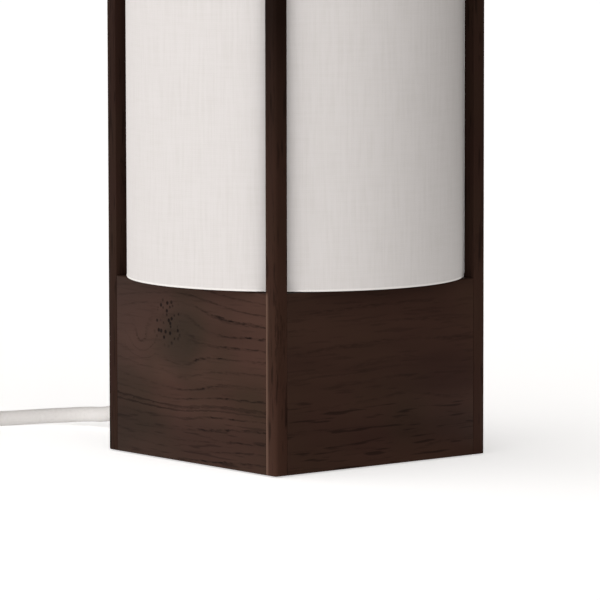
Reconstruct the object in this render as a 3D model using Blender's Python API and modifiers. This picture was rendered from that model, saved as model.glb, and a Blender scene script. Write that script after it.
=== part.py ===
"""Andon table lamp: a cloth drum standing on an oak box, held between four slim posts.

Metres, +Z up. The origin is on the floor under the middle of the base. The faces of the base lie along
X and Y, the front faces -Y, and the cord leaves through the back panel, at +Y.
"""

import math

import bmesh
import bpy
from mathutils import Vector

# Gap between pieces that touch
FIT = 0.0003

# Oak frame. Posts, panels and rails are one thickness
FRAME_SIDE = 0.130
LAMP_HEIGHT = 0.430
FLOOR_GAP = 0.0006
POST_WIDTH = 0.007
POST_CORNER_RADIUS = 0.0015
EASED_EDGE = 0.0006
PANEL_HEIGHT = 0.0856
RAIL_HEIGHT = 0.010
BOARD_EDGE = 0.0004
TONGUE_THICKNESS = 0.0018
TONGUE_DEPTH = 0.0015
TONGUE_STOP = 0.0015

# Drum shade
SHADE_WALL = 0.0012
RING_WIRE_RADIUS = 0.0015

# Inside of the base
FELT_MARGIN = 0.0077
FELT_THICKNESS = 0.002
BOTTOM_THICKNESS = 0.005
DECK_THICKNESS = 0.005
DECK_RECESS = 0.004
BLOCK_SIDE = 0.012
BALLAST_MARGIN = 0.0027
BALLAST_THICKNESS = 0.010
BALLAST_EDGE = 0.0005
NOTCH_CLEARANCE = 0.0085
NOTCH_LENGTH = 0.026
SCREW_LENGTH = 0.014
SCREW_RADIUS = 0.0015
SCREW_HEAD_OVERHANG = 0.0015
SCREW_HEAD_HEIGHT = 0.0018
SCREW_POINT = 0.003

# Lampholder, for a bulb with a 27 mm screw cap
LEAD_RADIUS = 0.0025
NIPPLE_CLEARANCE = 0.0006
NIPPLE_WALL = 0.0019
NIPPLE_RISE = 0.009
NUT_WALL = 0.0031
NUT_THICKNESS = 0.004
NUT_THREAD_LEFT = 0.0015
WASHER_OVERHANG = 0.0019
WASHER_THICKNESS = 0.0012
HOLDER_RADIUS = 0.0195
HOLDER_FOOT_INSET = 0.0045
HOLDER_FOOT_HEIGHT = 0.011
HOLDER_WALL = 0.0022
HOLDER_FLOOR = 0.004
HOLDER_LEDGE = 0.0015
HOLDER_CAP_HEIGHT = 0.022
SLEEVE_LIP = 0.0042
SLEEVE_CLEARANCE = 0.001
SLEEVE_TAPER = 0.001
INSERT_THICKNESS = 0.008
CONTACT_RADIUS = 0.0035
CONTACT_HEIGHT = 0.003

# Bulb
BULB_CAP_RADIUS = 0.0132
BULB_CAP_LENGTH = 0.0265
BULB_TIP_RADIUS = 0.0046
BULB_TIP_LENGTH = 0.002
BULB_CONE_LENGTH = 0.004
BULB_RADIUS = 0.030
BULB_NECK_RADIUS = 0.0125
BULB_GLASS_LENGTH = 0.078
BULB_GLASS_WALL = 0.001
BULB_WAIST_ANGLE = math.radians(40)

# Cord, the gland that it leaves by and the boots at its other ends
CORD_DIAMETER = 0.0077
GLAND_WALL = 0.00205
GLAND_FLANGE_WIDTH = 0.003
GLAND_FLANGE_THICKNESS = 0.002
GLAND_TAPER_LENGTH = 0.026
GLAND_TAPER_SHOULDER = 0.0008
GLAND_NUT_WALL = 0.0025
GLAND_NUT_THICKNESS = 0.004
BOOT_LENGTH = 0.020
BOOT_SHOULDER = 0.00125
BOOT_TIP_WALL = 0.001
BOOT_SPIGOT_WALL = 0.0012
BOOT_SPIGOT_LENGTH = 0.0035
STRAIGHT_INSIDE = 0.010
STRAIGHT_BEYOND = 0.004

# Hand switch on the cord, its axis along X
SWITCH_CENTRE = (-0.126, 0.176)
SWITCH_LENGTH = 0.044
SWITCH_WIDTH = 0.024
SWITCH_HEIGHT = 0.016
SWITCH_WALL = 0.0016
SWITCH_END_RADIUS = 0.006
SWITCH_EDGE_RADIUS = 0.0022
ROCKER_RADIUS = 0.009
ROCKER_WIDTH = 0.010
ROCKER_PIVOT_DEPTH = 0.0014
ROCKER_MIDDLE_RISE = 0.0012
ROCKER_TOP_ANGLE = math.radians(18)
ROCKER_FOOT_ANGLE = math.radians(38)
ROCKER_TILT = math.radians(11)
PIVOT_RADIUS = 0.001
PIVOT_LENGTH = 0.0016
EAR_LENGTH = 0.0052
EAR_WIDTH = 0.0022
EAR_DROP = 0.0045

# Coil of spare cord beyond the switch: a flat spiral in, then out again on top of it, with a strap round it
COIL_REACH = 0.031
COIL_RADIUS = 0.0415
COIL_COLUMNS = 3.5
COIL_LAYERS = 2
COIL_CORNER = 0.003
TIE_WIDTH = 0.012
TIE_THICKNESS = 0.001

# Plug with two round pins, its axis along Y and its pins towards -Y
PLUG_REAR = (-0.236, 0.012)
PLUG_LENGTH = 0.036
PLUG_WIDTH = 0.0353
PLUG_REAR_WIDTH = 0.016
PLUG_HEIGHT = 0.0137
PLUG_SHOULDER = 0.012
PLUG_EDGE = 0.0016
PIN_RADIUS = 0.002
PIN_LENGTH = 0.019
PIN_SPACING = 0.0186
PIN_TIP_RADIUS = 0.001

# Facets round a turn, and points along each span of a route
SHADE_STEPS = 96
RING_STEPS = 40
TURNED_STEPS = 32
SMALL_STEPS = 24
PIN_STEPS = 16
SCREW_STEPS = 12
SPAN_POINTS = 24
CORD_POINT_SPACING = 2.0 * CORD_DIAMETER
LEAD_POINT_SPACING = 4.0 * LEAD_RADIUS

# Frame and base
half_side = FRAME_SIDE / 2
inner_half = half_side - POST_WIDTH
panel_top = FLOOR_GAP + PANEL_HEIGHT
shade_radius = math.sqrt(2) * inner_half - FIT
shade_bottom = panel_top + FIT
shade_top = LAMP_HEIGHT - RAIL_HEIGHT - FIT
board_side = 2 * (inner_half - FIT)
felt_radius = board_side / 2 - FELT_MARGIN
bottom_low = FELT_THICKNESS + FIT
bottom_top = bottom_low + BOTTOM_THICKNESS
deck_top = panel_top - DECK_RECESS
deck_low = deck_top - DECK_THICKNESS
block_place = board_side / 2 - BLOCK_SIDE / 2
ballast_side = 2 * (block_place - BLOCK_SIDE / 2 - BALLAST_MARGIN)

# Lampholder and bulb
nipple_bore = LEAD_RADIUS + NIPPLE_CLEARANCE
nipple_radius = nipple_bore + NIPPLE_WALL
stem_bore = nipple_radius + FIT
nut_radius = nipple_radius + NUT_WALL
washer_radius = nut_radius + WASHER_OVERHANG
washer_low = deck_low - FIT - WASHER_THICKNESS
nut_low = washer_low - FIT - NUT_THICKNESS
nipple_low = nut_low - NUT_THREAD_LEFT
holder_low = deck_top + FIT
holder_inside = HOLDER_RADIUS - HOLDER_WALL
insert_low = holder_low + HOLDER_CAP_HEIGHT - INSERT_THICKNESS
sleeve_low = holder_low + HOLDER_CAP_HEIGHT + FIT
sleeve_bore = BULB_CAP_RADIUS + SLEEVE_CLEARANCE
bulb_low = holder_low + HOLDER_CAP_HEIGHT + CONTACT_HEIGHT + FIT
glass_low = bulb_low + BULB_CAP_LENGTH + FIT
sleeve_height = glass_low + SLEEVE_LIP - sleeve_low

# Cord and what is on it
cord_radius = CORD_DIAMETER / 2
cord_bore = cord_radius + FIT
gland_neck_radius = cord_bore + GLAND_WALL
gland_nut_radius = gland_neck_radius + GLAND_NUT_WALL
gland_height = bottom_top + gland_nut_radius + 2 * FIT
gland_neck_length = POST_WIDTH + FIT + GLAND_NUT_THICKNESS + NUT_THREAD_LEFT
gland_flange_top = FIT + GLAND_FLANGE_THICKNESS
gland_tip = gland_flange_top + GLAND_TAPER_LENGTH
cord_start = half_side - gland_neck_length
spigot_radius = cord_bore + BOOT_SPIGOT_WALL
switch_middle = SWITCH_HEIGHT / 2
switch_in = SWITCH_CENTRE[0] + SWITCH_LENGTH / 2
switch_out = SWITCH_CENTRE[0] - SWITCH_LENGTH / 2
pivot_height = SWITCH_HEIGHT - ROCKER_PIVOT_DEPTH
coil_turn = COIL_RADIUS + (COIL_COLUMNS - 1) * cord_radius
coil_inside = COIL_RADIUS - COIL_COLUMNS * cord_radius
coil_outside = COIL_RADIUS + COIL_COLUMNS * cord_radius
coil_low = TIE_THICKNESS + FIT
coil_top = coil_low + COIL_LAYERS * CORD_DIAMETER
coil_x = switch_out - BOOT_LENGTH - COIL_REACH
coil_y = SWITCH_CENTRE[1] - coil_turn
tangent_reach = math.sqrt(coil_outside**2 - (coil_turn - cord_radius) ** 2) + 2 * FIT
plug_middle = PLUG_HEIGHT / 2

# The cord's routes, chosen by hand: out of the back panel, down to the floor and round to the left
ROUTE_TO_SWITCH = [
    (0.0, cord_start, gland_height),
    (0.0, half_side, gland_height),
    (0.0, half_side + gland_tip - STRAIGHT_INSIDE, gland_height),
    (0.0, half_side + gland_tip, gland_height),
    (-0.0014, 0.1050, 0.0157),
    (-0.0051, 0.1160, 0.0130),
    (-0.0098, 0.1263, 0.0093),
    (-0.0144, 0.1361, 0.0067),
    (-0.0166, 0.1441, 0.0061),
    (-0.0201, 0.1506, 0.0056),
    (-0.0248, 0.1561, 0.0051),
    (-0.0303, 0.1606, 0.0048),
    (-0.0407, 0.1671, 0.0043),
    (-0.0527, 0.1729, 0.0040),
    (-0.0640, 0.1753, 0.0051),
    (-0.0735, SWITCH_CENTRE[1], 0.0071),
    (switch_in + BOOT_LENGTH + STRAIGHT_BEYOND, SWITCH_CENTRE[1], switch_middle),
    (switch_in + BOOT_LENGTH - STRAIGHT_INSIDE, SWITCH_CENTRE[1], switch_middle),
    (switch_in - BOOT_SPIGOT_LENGTH, SWITCH_CENTRE[1], switch_middle),
]
ROUTE_TO_COIL = [
    (switch_out + BOOT_SPIGOT_LENGTH, SWITCH_CENTRE[1], switch_middle),
    (switch_out - BOOT_LENGTH, SWITCH_CENTRE[1], switch_middle),
    (coil_x + tangent_reach, SWITCH_CENTRE[1], switch_middle),
]
ROUTE_TO_PLUG = [
    (coil_x - coil_turn, coil_y - tangent_reach, coil_top - cord_radius),
    (-0.2488, 0.0850, 0.0123),
    (-0.2453, 0.0733, 0.0108),
    (-0.2411, 0.0617, 0.0090),
    (-0.2376, 0.0500, 0.0075),
    (PLUG_REAR[0], PLUG_REAR[1] + BOOT_LENGTH + STRAIGHT_BEYOND, plug_middle),
    (PLUG_REAR[0], PLUG_REAR[1] + BOOT_LENGTH - STRAIGHT_INSIDE, plug_middle),
    (PLUG_REAR[0], PLUG_REAR[1] - BOOT_SPIGOT_LENGTH, plug_middle),
]

SIDES = ("front", "right", "back", "left")
CORNERS = {"front_left": (-1, -1), "front_right": (1, -1), "back_right": (1, 1), "back_left": (-1, 1)}

for leftover in list(bpy.data.objects):
    bpy.data.objects.remove(leftover)

parts = bpy.data.collections.new("andon_table_lamp")
cutters = bpy.data.collections.new("cutters")
for collection in (parts, cutters):
    bpy.context.scene.collection.children.link(collection)


def material(name, colour, roughness, metallic=0.0):
    made = bpy.data.materials.new(name)
    made.use_nodes = True
    shader = made.node_tree.nodes["Principled BSDF"]
    shader.inputs["Base Color"].default_value = (*colour, 1.0)
    shader.inputs["Roughness"].default_value = roughness
    shader.inputs["Metallic"].default_value = metallic
    return made


dark_oak = material("dark_stained_oak", (0.045, 0.024, 0.018), 0.55)
plywood = material("birch_plywood", (0.45, 0.33, 0.20), 0.6)
linen = material("linen_laminate", (0.76, 0.73, 0.70), 0.85)
steel = material("zinc_plated_steel", (0.62, 0.62, 0.60), 0.4, 1.0)
cast_iron = material("cast_iron", (0.10, 0.10, 0.11), 0.6, 1.0)
felt = material("grey_felt", (0.12, 0.12, 0.12), 0.95)
brass = material("brass", (0.72, 0.53, 0.24), 0.3, 1.0)
porcelain = material("porcelain", (0.85, 0.84, 0.80), 0.25)
white_plastic = material("white_moulded_plastic", (0.78, 0.77, 0.75), 0.4)
aluminium = material("bulb_cap_aluminium", (0.75, 0.75, 0.76), 0.35, 1.0)
opal_glass = material("opal_glass", (0.90, 0.89, 0.86), 0.2)
cloth_cord = material("white_cloth_cord", (0.70, 0.69, 0.67), 0.85)
inner_sheath = material("grey_inner_sheath", (0.35, 0.35, 0.35), 0.6)


def empty(name, location):
    made = bpy.data.objects.new(name, None)
    made.location = location
    parts.objects.link(made)
    return made


lamp = empty("lamp_axis", (0, 0, 0))


def place(name, data, finish, location=(0, 0, 0), turn=(0, 0, 0), parent=lamp):
    """A new part from mesh or curve data."""
    made = bpy.data.objects.new(name, data)
    made.location = location
    made.rotation_euler = turn
    made.parent = parent
    data.materials.append(finish)
    parts.objects.link(made)
    return made


def as_cutter(obj):
    """Moves an object to the cutters, which aren't pieces of the lamp."""
    parts.objects.unlink(obj)
    cutters.objects.link(obj)
    obj.hide_render = True
    obj.display_type = "WIRE"
    return obj


def cut(obj, *tools, operation="DIFFERENCE"):
    for tool in tools:
        boolean = obj.modifiers.new(tool.name, "BOOLEAN")
        boolean.operation = operation
        boolean.object = tool


def bevel(obj, width, segments=2, by_weight=False):
    made = obj.modifiers.new("eased_edges", "BEVEL")
    made.width = width
    made.segments = segments
    made.limit_method = "WEIGHT" if by_weight else "ANGLE"
    made.angle_limit = math.radians(40)


def box(name, size, finish, location=(0, 0, 0), turn=(0, 0, 0), parent=lamp):
    bm = bmesh.new()
    bmesh.ops.create_cube(bm, size=1.0)
    bmesh.ops.scale(bm, vec=size, verts=bm.verts)
    mesh = bpy.data.meshes.new(name)
    bm.to_mesh(mesh)
    bm.free()
    return place(name, mesh, finish, location, turn, parent)


def cylinder(name, radius, length, finish, sides=TURNED_STEPS, **where):
    """A round or, with six sides, a hexagonal bar along Z, centred on its origin."""
    bm = bmesh.new()
    bmesh.ops.create_cone(bm, cap_ends=True, segments=sides, radius1=radius, radius2=radius, depth=length)
    mesh = bpy.data.meshes.new(name)
    bm.to_mesh(mesh)
    bm.free()
    mesh.shade_smooth()
    mesh.set_sharp_from_angle(angle=math.radians(40))
    return place(name, mesh, finish, **where)


def turned(name, profile, finish, steps=TURNED_STEPS, ring=False, **where):
    """A profile of (radius, height) points, running down its outer side, turned about Z. A ring's closes."""
    count = len(profile)
    edges = [(i, (i + 1) % count) for i in range(count if ring else count - 1)]
    mesh = bpy.data.meshes.new(name)
    mesh.from_pydata([(radius, 0.0, height) for radius, height in profile], edges, [])
    made = place(name, mesh, finish, **where)
    screw = made.modifiers.new("turned", "SCREW")
    screw.steps = steps
    screw.render_steps = steps
    screw.use_merge_vertices = True
    screw.merge_threshold = 0.00001
    screw.use_smooth_shade = True
    return made


def plate(name, outline, thickness, finish, **where):
    """A flat outline of (x, y) points, filled and given a thickness along Z, centred on it."""
    curve = bpy.data.curves.new(name, "CURVE")
    curve.dimensions = "2D"
    curve.fill_mode = "BOTH"
    curve.extrude = thickness / 2
    spline = curve.splines.new("POLY")
    spline.points.add(len(outline) - 1)
    for point, (x, y) in zip(spline.points, outline):
        point.co = (x, y, 0.0, 1.0)
    spline.use_cyclic_u = True
    drawn = bpy.data.objects.new(name + "_outline", curve)
    bpy.context.scene.collection.objects.link(drawn)
    graph = bpy.context.evaluated_depsgraph_get()
    mesh = bpy.data.meshes.new_from_object(drawn.evaluated_get(graph))
    mesh.name = name
    bpy.data.objects.remove(drawn)
    bm = bmesh.new()
    bm.from_mesh(mesh)
    bmesh.ops.remove_doubles(bm, verts=bm.verts, dist=0.000001)
    bmesh.ops.dissolve_limit(bm, angle_limit=0.01, verts=bm.verts, edges=bm.edges)
    bmesh.ops.recalc_face_normals(bm, faces=bm.faces)
    bm.to_mesh(mesh)
    bm.free()
    return place(name, mesh, finish, **where)


def smooth_route(route, spacing):
    """Points about one spacing apart on a Catmull-Rom curve through the route's own points."""
    stops = [Vector(point) for point in route]
    ends = [2 * stops[0] - stops[1], *stops, 2 * stops[-1] - stops[-2]]
    fine = []
    for a, b, c, d in zip(ends, ends[1:], ends[2:], ends[3:]):
        for step in range(SPAN_POINTS):
            t = step / SPAN_POINTS
            bend = (2 * a - 5 * b + 4 * c - d) * t**2 + (3 * b - a - 3 * c + d) * t**3
            fine.append((2 * b + (c - a) * t + bend) / 2)
    fine.append(stops[-1])
    kept = [fine[0]]
    for point in fine[1:-1]:
        near_end = (fine[-1] - point).length < spacing / 2
        if (point - kept[-1]).length >= spacing and not near_end:
            kept.append(point)
    return [*kept, fine[-1]]


def tube(name, route, radius, spacing, finish):
    curve = bpy.data.curves.new(name, "CURVE")
    curve.dimensions = "3D"
    curve.bevel_depth = radius
    curve.bevel_resolution = 3
    curve.use_fill_caps = True
    points = smooth_route(route, spacing)
    spline = curve.splines.new("POLY")
    spline.points.add(len(points) - 1)
    for point, place_on_route in zip(spline.points, points):
        point.co = (*place_on_route, 1.0)
    return place(name, curve, finish)


def tongued_board(name, height, middle, quarter, segments):
    """A board between two posts on one side of the frame, and the cutter of the grooves for its tongues."""
    angle = quarter * math.pi / 2
    offset = half_side - POST_WIDTH / 2
    where = ((offset * math.sin(angle), -offset * math.cos(angle), middle), (0, 0, angle))
    length = 2 * (inner_half - FIT)
    tongue_height = height - 2 * TONGUE_STOP
    board = box(name, (length, POST_WIDTH, height), dark_oak, *where)
    bevel(board, BOARD_EDGE, segments)
    tongue_size = (length + 2 * TONGUE_DEPTH, TONGUE_THICKNESS, tongue_height)
    tongue = box(f"{name}_tongue", tongue_size, dark_oak, *where)
    cut(board, as_cutter(tongue), operation="UNION")
    groove = tuple(side + 2 * FIT for side in tongue_size)
    return as_cutter(box(f"{name}_groove", groove, dark_oak, *where))


def weigh_post_edges(mesh, x, y):
    """The outer long edge gets the full radius, every other edge is only eased."""
    weights = mesh.attributes.new("bevel_weight_edge", "FLOAT", "EDGE")
    for edge in mesh.edges:
        ends = [mesh.vertices[i].co for i in edge.vertices]
        outer = all(end.x * x > 0 and end.y * y > 0 for end in ends)
        weights.data[edge.index].value = 1.0 if outer else EASED_EDGE / POST_CORNER_RADIUS


def make_frame():
    """Four panels and four rails, tongued into the grooves of four posts."""
    grooves = {}
    for quarter, side in enumerate(SIDES):
        panel = tongued_board(f"panel_{side}", PANEL_HEIGHT, FLOOR_GAP + PANEL_HEIGHT / 2, quarter, 2)
        rail = tongued_board(f"rail_{side}", RAIL_HEIGHT, LAMP_HEIGHT - RAIL_HEIGHT / 2, quarter, 1)
        grooves[side] = (panel, rail)
    post_place = half_side - POST_WIDTH / 2
    post_length = LAMP_HEIGHT - FLOOR_GAP
    for corner, (x, y) in CORNERS.items():
        middle = (x * post_place, y * post_place, FLOOR_GAP + post_length / 2)
        post = box(f"post_{corner}", (POST_WIDTH, POST_WIDTH, post_length), dark_oak, middle)
        weigh_post_edges(post.data, x, y)
        bevel(post, POST_CORNER_RADIUS, segments=3, by_weight=True)
        for side in SIDES:
            if side in corner:
                cut(post, *grooves[side])


def make_shade():
    """The drum touches the posts' inner corners and stands on the panels' top edges."""
    inside = shade_radius - SHADE_WALL
    wall = [(shade_radius, shade_top), (shade_radius, shade_bottom),
            (inside, shade_bottom), (inside, shade_top)]
    turned("shade_drum", wall, linen, SHADE_STEPS, ring=True)
    ring_radius = inside - FIT - RING_WIRE_RADIUS
    rings = {"lower": shade_bottom + RING_WIRE_RADIUS, "upper": shade_top - RING_WIRE_RADIUS}
    for name, height in rings.items():
        angles = [-i * math.pi / 3 for i in range(6)]
        wire = [(ring_radius + RING_WIRE_RADIUS * math.cos(a), RING_WIRE_RADIUS * math.sin(a))
                for a in angles]
        turned(f"shade_ring_{name}", wire, steel, RING_STEPS, ring=True, location=(0, 0, height))


def screw_profile(grow, stand):
    """A countersunk wood screw, head up, its top at height 0. A cutter's is grown and stands higher."""
    shank = SCREW_RADIUS + grow
    head = shank + SCREW_HEAD_OVERHANG
    tip = -SCREW_LENGTH - grow
    return [(0, stand), (head, stand), (head, -grow), (shank, -SCREW_HEAD_HEIGHT - grow),
            (shank, tip + SCREW_POINT), (0, tip)]


def make_base():
    """What the box holds: boards, blocks, screws, ballast and the felt that it stands on."""
    deck = box("deck_board", (board_side, board_side, DECK_THICKNESS), plywood,
               (0, 0, deck_top - DECK_THICKNESS / 2))
    bottom = box("bottom_plate", (board_side, board_side, BOTTOM_THICKNESS), plywood,
                 (0, 0, bottom_low + BOTTOM_THICKNESS / 2))
    stem_hole = cylinder("stem_hole", stem_bore, 3 * DECK_THICKNESS, steel, SMALL_STEPS,
                         location=(0, 0, deck_low))
    cut(deck, as_cutter(stem_hole))
    block_low, block_top = bottom_top + FIT, deck_low - FIT
    screws = {"deck": (deck, deck_top - FIT, 0.0), "bottom": (bottom, bottom_low + FIT, math.pi)}
    for corner, (x, y) in CORNERS.items():
        at = (x * block_place, y * block_place)
        size = (BLOCK_SIDE, BLOCK_SIDE, block_top - block_low)
        block = box(f"corner_block_{corner}", size, plywood, (*at, (block_low + block_top) / 2))
        for name, (board, head, flip) in screws.items():
            where = {"location": (*at, head), "turn": (flip, 0, 0)}
            turned(f"{name}_screw_{corner}", screw_profile(0.0, 0.0), steel, SCREW_STEPS, **where)
            hole = turned(f"{name}_hole_{corner}", screw_profile(FIT, 2 * FIT), steel, SCREW_STEPS, **where)
            cut(board, as_cutter(hole))
            cut(block, hole)

    ballast_middle = bottom_top + FIT + BALLAST_THICKNESS / 2
    ballast = box("ballast_plate", (ballast_side, ballast_side, BALLAST_THICKNESS), cast_iron,
                  (0, 0, ballast_middle))
    bevel(ballast, BALLAST_EDGE, segments=1)
    notch_size = (2 * (LEAD_RADIUS + NOTCH_CLEARANCE), 2 * NOTCH_LENGTH, 2 * BALLAST_THICKNESS)
    notch = box("lead_notch", notch_size, cast_iron, (0, ballast_side / 2, ballast_middle))
    cut(ballast, as_cutter(notch))
    cylinder("base_felt", felt_radius, FELT_THICKNESS, felt, 48, location=(0, 0, FELT_THICKNESS / 2))


def rounded_foot(points=6):
    """A quarter ellipse from the lampholder's full radius in to its foot."""
    quarter = [i * math.pi / 2 / (points - 1) for i in range(points)]
    return [(HOLDER_RADIUS - HOLDER_FOOT_INSET * (1 - math.cos(a)), HOLDER_FOOT_HEIGHT * (1 - math.sin(a)))
            for a in quarter]


def make_lampholder():
    """Holder on a threaded nipple through the deck, locked below by a washer and a nut."""
    nipple_top = holder_low + NIPPLE_RISE
    nipple = [(nipple_radius, nipple_top), (nipple_radius, nipple_low), (nipple_bore, nipple_low),
              (nipple_bore, nipple_top)]
    turned("holder_nipple", nipple, steel, SMALL_STEPS, ring=True)
    washer = [(washer_radius, WASHER_THICKNESS), (washer_radius, 0),
              (stem_bore, 0), (stem_bore, WASHER_THICKNESS)]
    turned("holder_washer", washer, steel, SMALL_STEPS, ring=True, location=(0, 0, washer_low))
    nut_middle = (0, 0, nut_low + NUT_THICKNESS / 2)
    nut = cylinder("holder_nut", nut_radius, NUT_THICKNESS, steel, 6, location=nut_middle)
    thread = cylinder("holder_nut_thread", stem_bore, 2 * NUT_THICKNESS, steel, SMALL_STEPS,
                      location=nut_middle)
    cut(nut, as_cutter(thread))

    ledge = HOLDER_CAP_HEIGHT - INSERT_THICKNESS - FIT
    foot_inside = holder_inside - HOLDER_FOOT_INSET
    cap = [(HOLDER_RADIUS, HOLDER_CAP_HEIGHT), *rounded_foot(), (stem_bore, 0), (stem_bore, HOLDER_FLOOR),
           (foot_inside, HOLDER_FLOOR), (holder_inside - HOLDER_LEDGE, ledge - HOLDER_LEDGE),
           (holder_inside - HOLDER_LEDGE, ledge), (holder_inside, ledge),
           (holder_inside, HOLDER_CAP_HEIGHT)]
    turned("holder_cap", cap, white_plastic, SMALL_STEPS, ring=True, location=(0, 0, holder_low))
    sleeve = [(HOLDER_RADIUS - SLEEVE_TAPER, sleeve_height), (HOLDER_RADIUS, 0), (sleeve_bore, 0),
              (sleeve_bore, sleeve_height)]
    turned("holder_sleeve", sleeve, white_plastic, SMALL_STEPS, ring=True, location=(0, 0, sleeve_low))
    contact_top = INSERT_THICKNESS + CONTACT_HEIGHT
    insert_radius = holder_inside - FIT
    insert = [(0, contact_top), (CONTACT_RADIUS, contact_top), (CONTACT_RADIUS, INSERT_THICKNESS),
              (insert_radius, INSERT_THICKNESS), (insert_radius, 0), (0, 0)]
    turned("holder_insert", insert, porcelain, SMALL_STEPS, location=(0, 0, insert_low))
    tube("holder_lead", lead_route(), LEAD_RADIUS, LEAD_POINT_SPACING, inner_sheath)


def lead_route(points=7):
    """From the end of the cord's sheath in a quarter ellipse to the nipple, then up to the insert."""
    run, climb = cord_start - FIT, nipple_low - gland_height
    quarter = [i * math.pi / 2 / (points - 1) for i in range(points)]
    bend = [(0.0, run * (1 - math.sin(a)), gland_height + climb * (1 - math.cos(a))) for a in quarter]
    return [*bend, (0.0, 0.0, deck_low), (0.0, 0.0, insert_low - FIT)]


def make_bulb():
    """Screw cap and opal glass, which turn together in the holder."""
    axis = empty("bulb_axis", (0, 0, bulb_low))
    axis.parent = lamp
    cone_top = BULB_TIP_LENGTH + BULB_CONE_LENGTH
    cap = [(0, BULB_CAP_LENGTH), (BULB_CAP_RADIUS, BULB_CAP_LENGTH), (BULB_CAP_RADIUS, cone_top),
           (BULB_TIP_RADIUS, BULB_TIP_LENGTH), (BULB_TIP_RADIUS, 0), (0, 0)]
    turned("bulb_cap", cap, aluminium, SMALL_STEPS, parent=axis)
    glass_place = (0, 0, glass_low - bulb_low)
    glass = turned("bulb_glass", bulb_profile(), opal_glass, SMALL_STEPS, parent=axis, location=glass_place)
    wall = glass.modifiers.new("glass_wall", "SOLIDIFY")
    wall.thickness = BULB_GLASS_WALL
    wall.offset = -1.0


def bulb_profile(globe_points=8, neck_points=4):
    """From the crown round the globe to its waist, then along one smooth curve down to the neck."""
    centre = BULB_GLASS_LENGTH - BULB_RADIUS
    sweep = math.pi / 2 + BULB_WAIST_ANGLE
    angles = [math.pi / 2 - sweep * i / globe_points for i in range(globe_points + 1)]
    profile = [(BULB_RADIUS * math.cos(a), centre + BULB_RADIUS * math.sin(a)) for a in angles]
    profile[0] = (0.0, BULB_GLASS_LENGTH)
    waist, neck = Vector(profile[-1]), Vector((BULB_NECK_RADIUS, 0.0))
    reach = (waist - neck).length
    leave = Vector((-math.sin(BULB_WAIST_ANGLE), -math.cos(BULB_WAIST_ANGLE))) * reach
    arrive = Vector((0.0, -1.0)) * reach
    for i in range(1, neck_points + 1):
        t = i / neck_points
        near = waist * (2 * t**3 - 3 * t**2 + 1) + leave * (t**3 - 2 * t**2 + t)
        far = neck * (3 * t**2 - 2 * t**3) + arrive * (t**3 - t**2)
        profile.append(tuple(near + far))
    return profile


def make_gland():
    """Cord gland in the back panel: a neck with a lock nut inside and a tapered relief outside."""
    outward = (-math.pi / 2, 0, 0)
    exit_place = (0, half_side, gland_height)
    profile = [(cord_bore + BOOT_TIP_WALL, gland_tip),
               (gland_neck_radius + GLAND_TAPER_SHOULDER, gland_flange_top),
               (gland_neck_radius + GLAND_FLANGE_WIDTH, gland_flange_top),
               (gland_neck_radius + GLAND_FLANGE_WIDTH, FIT), (gland_neck_radius, FIT),
               (gland_neck_radius, -gland_neck_length), (cord_bore, -gland_neck_length),
               (cord_bore, gland_tip)]
    turned("cord_gland", profile, white_plastic, SMALL_STEPS, ring=True, location=exit_place, turn=outward)
    hole_length = 2 * (gland_neck_length + gland_tip)
    hole = cylinder("gland_hole", gland_neck_radius + FIT, hole_length, steel, SMALL_STEPS,
                    location=exit_place, turn=outward)
    nut_place = (0, inner_half - FIT - GLAND_NUT_THICKNESS / 2, gland_height)
    nut = cylinder("gland_nut", gland_nut_radius, GLAND_NUT_THICKNESS, white_plastic, 6,
                   location=nut_place, turn=outward)
    cut(bpy.data.objects["panel_back"], as_cutter(hole))
    cut(nut, hole)


def make_boot(name, location, turn):
    """Tapered relief round the cord. Its spigot goes into the housing, and it points along its own Z."""
    profile = [(cord_bore + BOOT_TIP_WALL, BOOT_LENGTH), (spigot_radius + BOOT_SHOULDER, FIT),
               (spigot_radius, FIT), (spigot_radius, -BOOT_SPIGOT_LENGTH), (cord_bore, -BOOT_SPIGOT_LENGTH),
               (cord_bore, BOOT_LENGTH)]
    return turned(name, profile, white_plastic, SMALL_STEPS, ring=True, location=location, turn=turn)


def make_cord():
    """The cord's free stretches, and the ring that its coiled length fills, with the strap round it."""
    tube("cord_to_switch", ROUTE_TO_SWITCH, cord_radius, CORD_POINT_SPACING, cloth_cord)
    tube("cord_to_coil", ROUTE_TO_COIL, cord_radius, CORD_POINT_SPACING, cloth_cord)
    tube("cord_to_plug", ROUTE_TO_PLUG, cord_radius, CORD_POINT_SPACING, cloth_cord)
    inner, outer, corner = coil_inside, coil_outside, COIL_CORNER
    section = [(outer - corner, coil_top), (outer, coil_top - corner), (outer, coil_low + corner),
               (outer - corner, coil_low), (inner + corner, coil_low), (inner, coil_low + corner),
               (inner, coil_top - corner), (inner + corner, coil_top)]
    turned("cord_coil", section, cloth_cord, RING_STEPS, ring=True, location=(coil_x, coil_y, 0))
    near = math.sqrt(inner**2 - (TIE_WIDTH / 2) ** 2) - 2 * FIT
    far = outer + FIT
    opening = (far - near, 2 * TIE_WIDTH, coil_top - coil_low + 2 * FIT)
    strap = (opening[0] + 2 * TIE_THICKNESS, TIE_WIDTH, opening[2] + 2 * TIE_THICKNESS)
    middle = (coil_x + (near + far) / 2, coil_y, (coil_low + coil_top) / 2)
    tie = box("cord_tie", strap, felt, middle)
    cut(tie, as_cutter(box("tie_opening", opening, felt, middle)))


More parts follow.
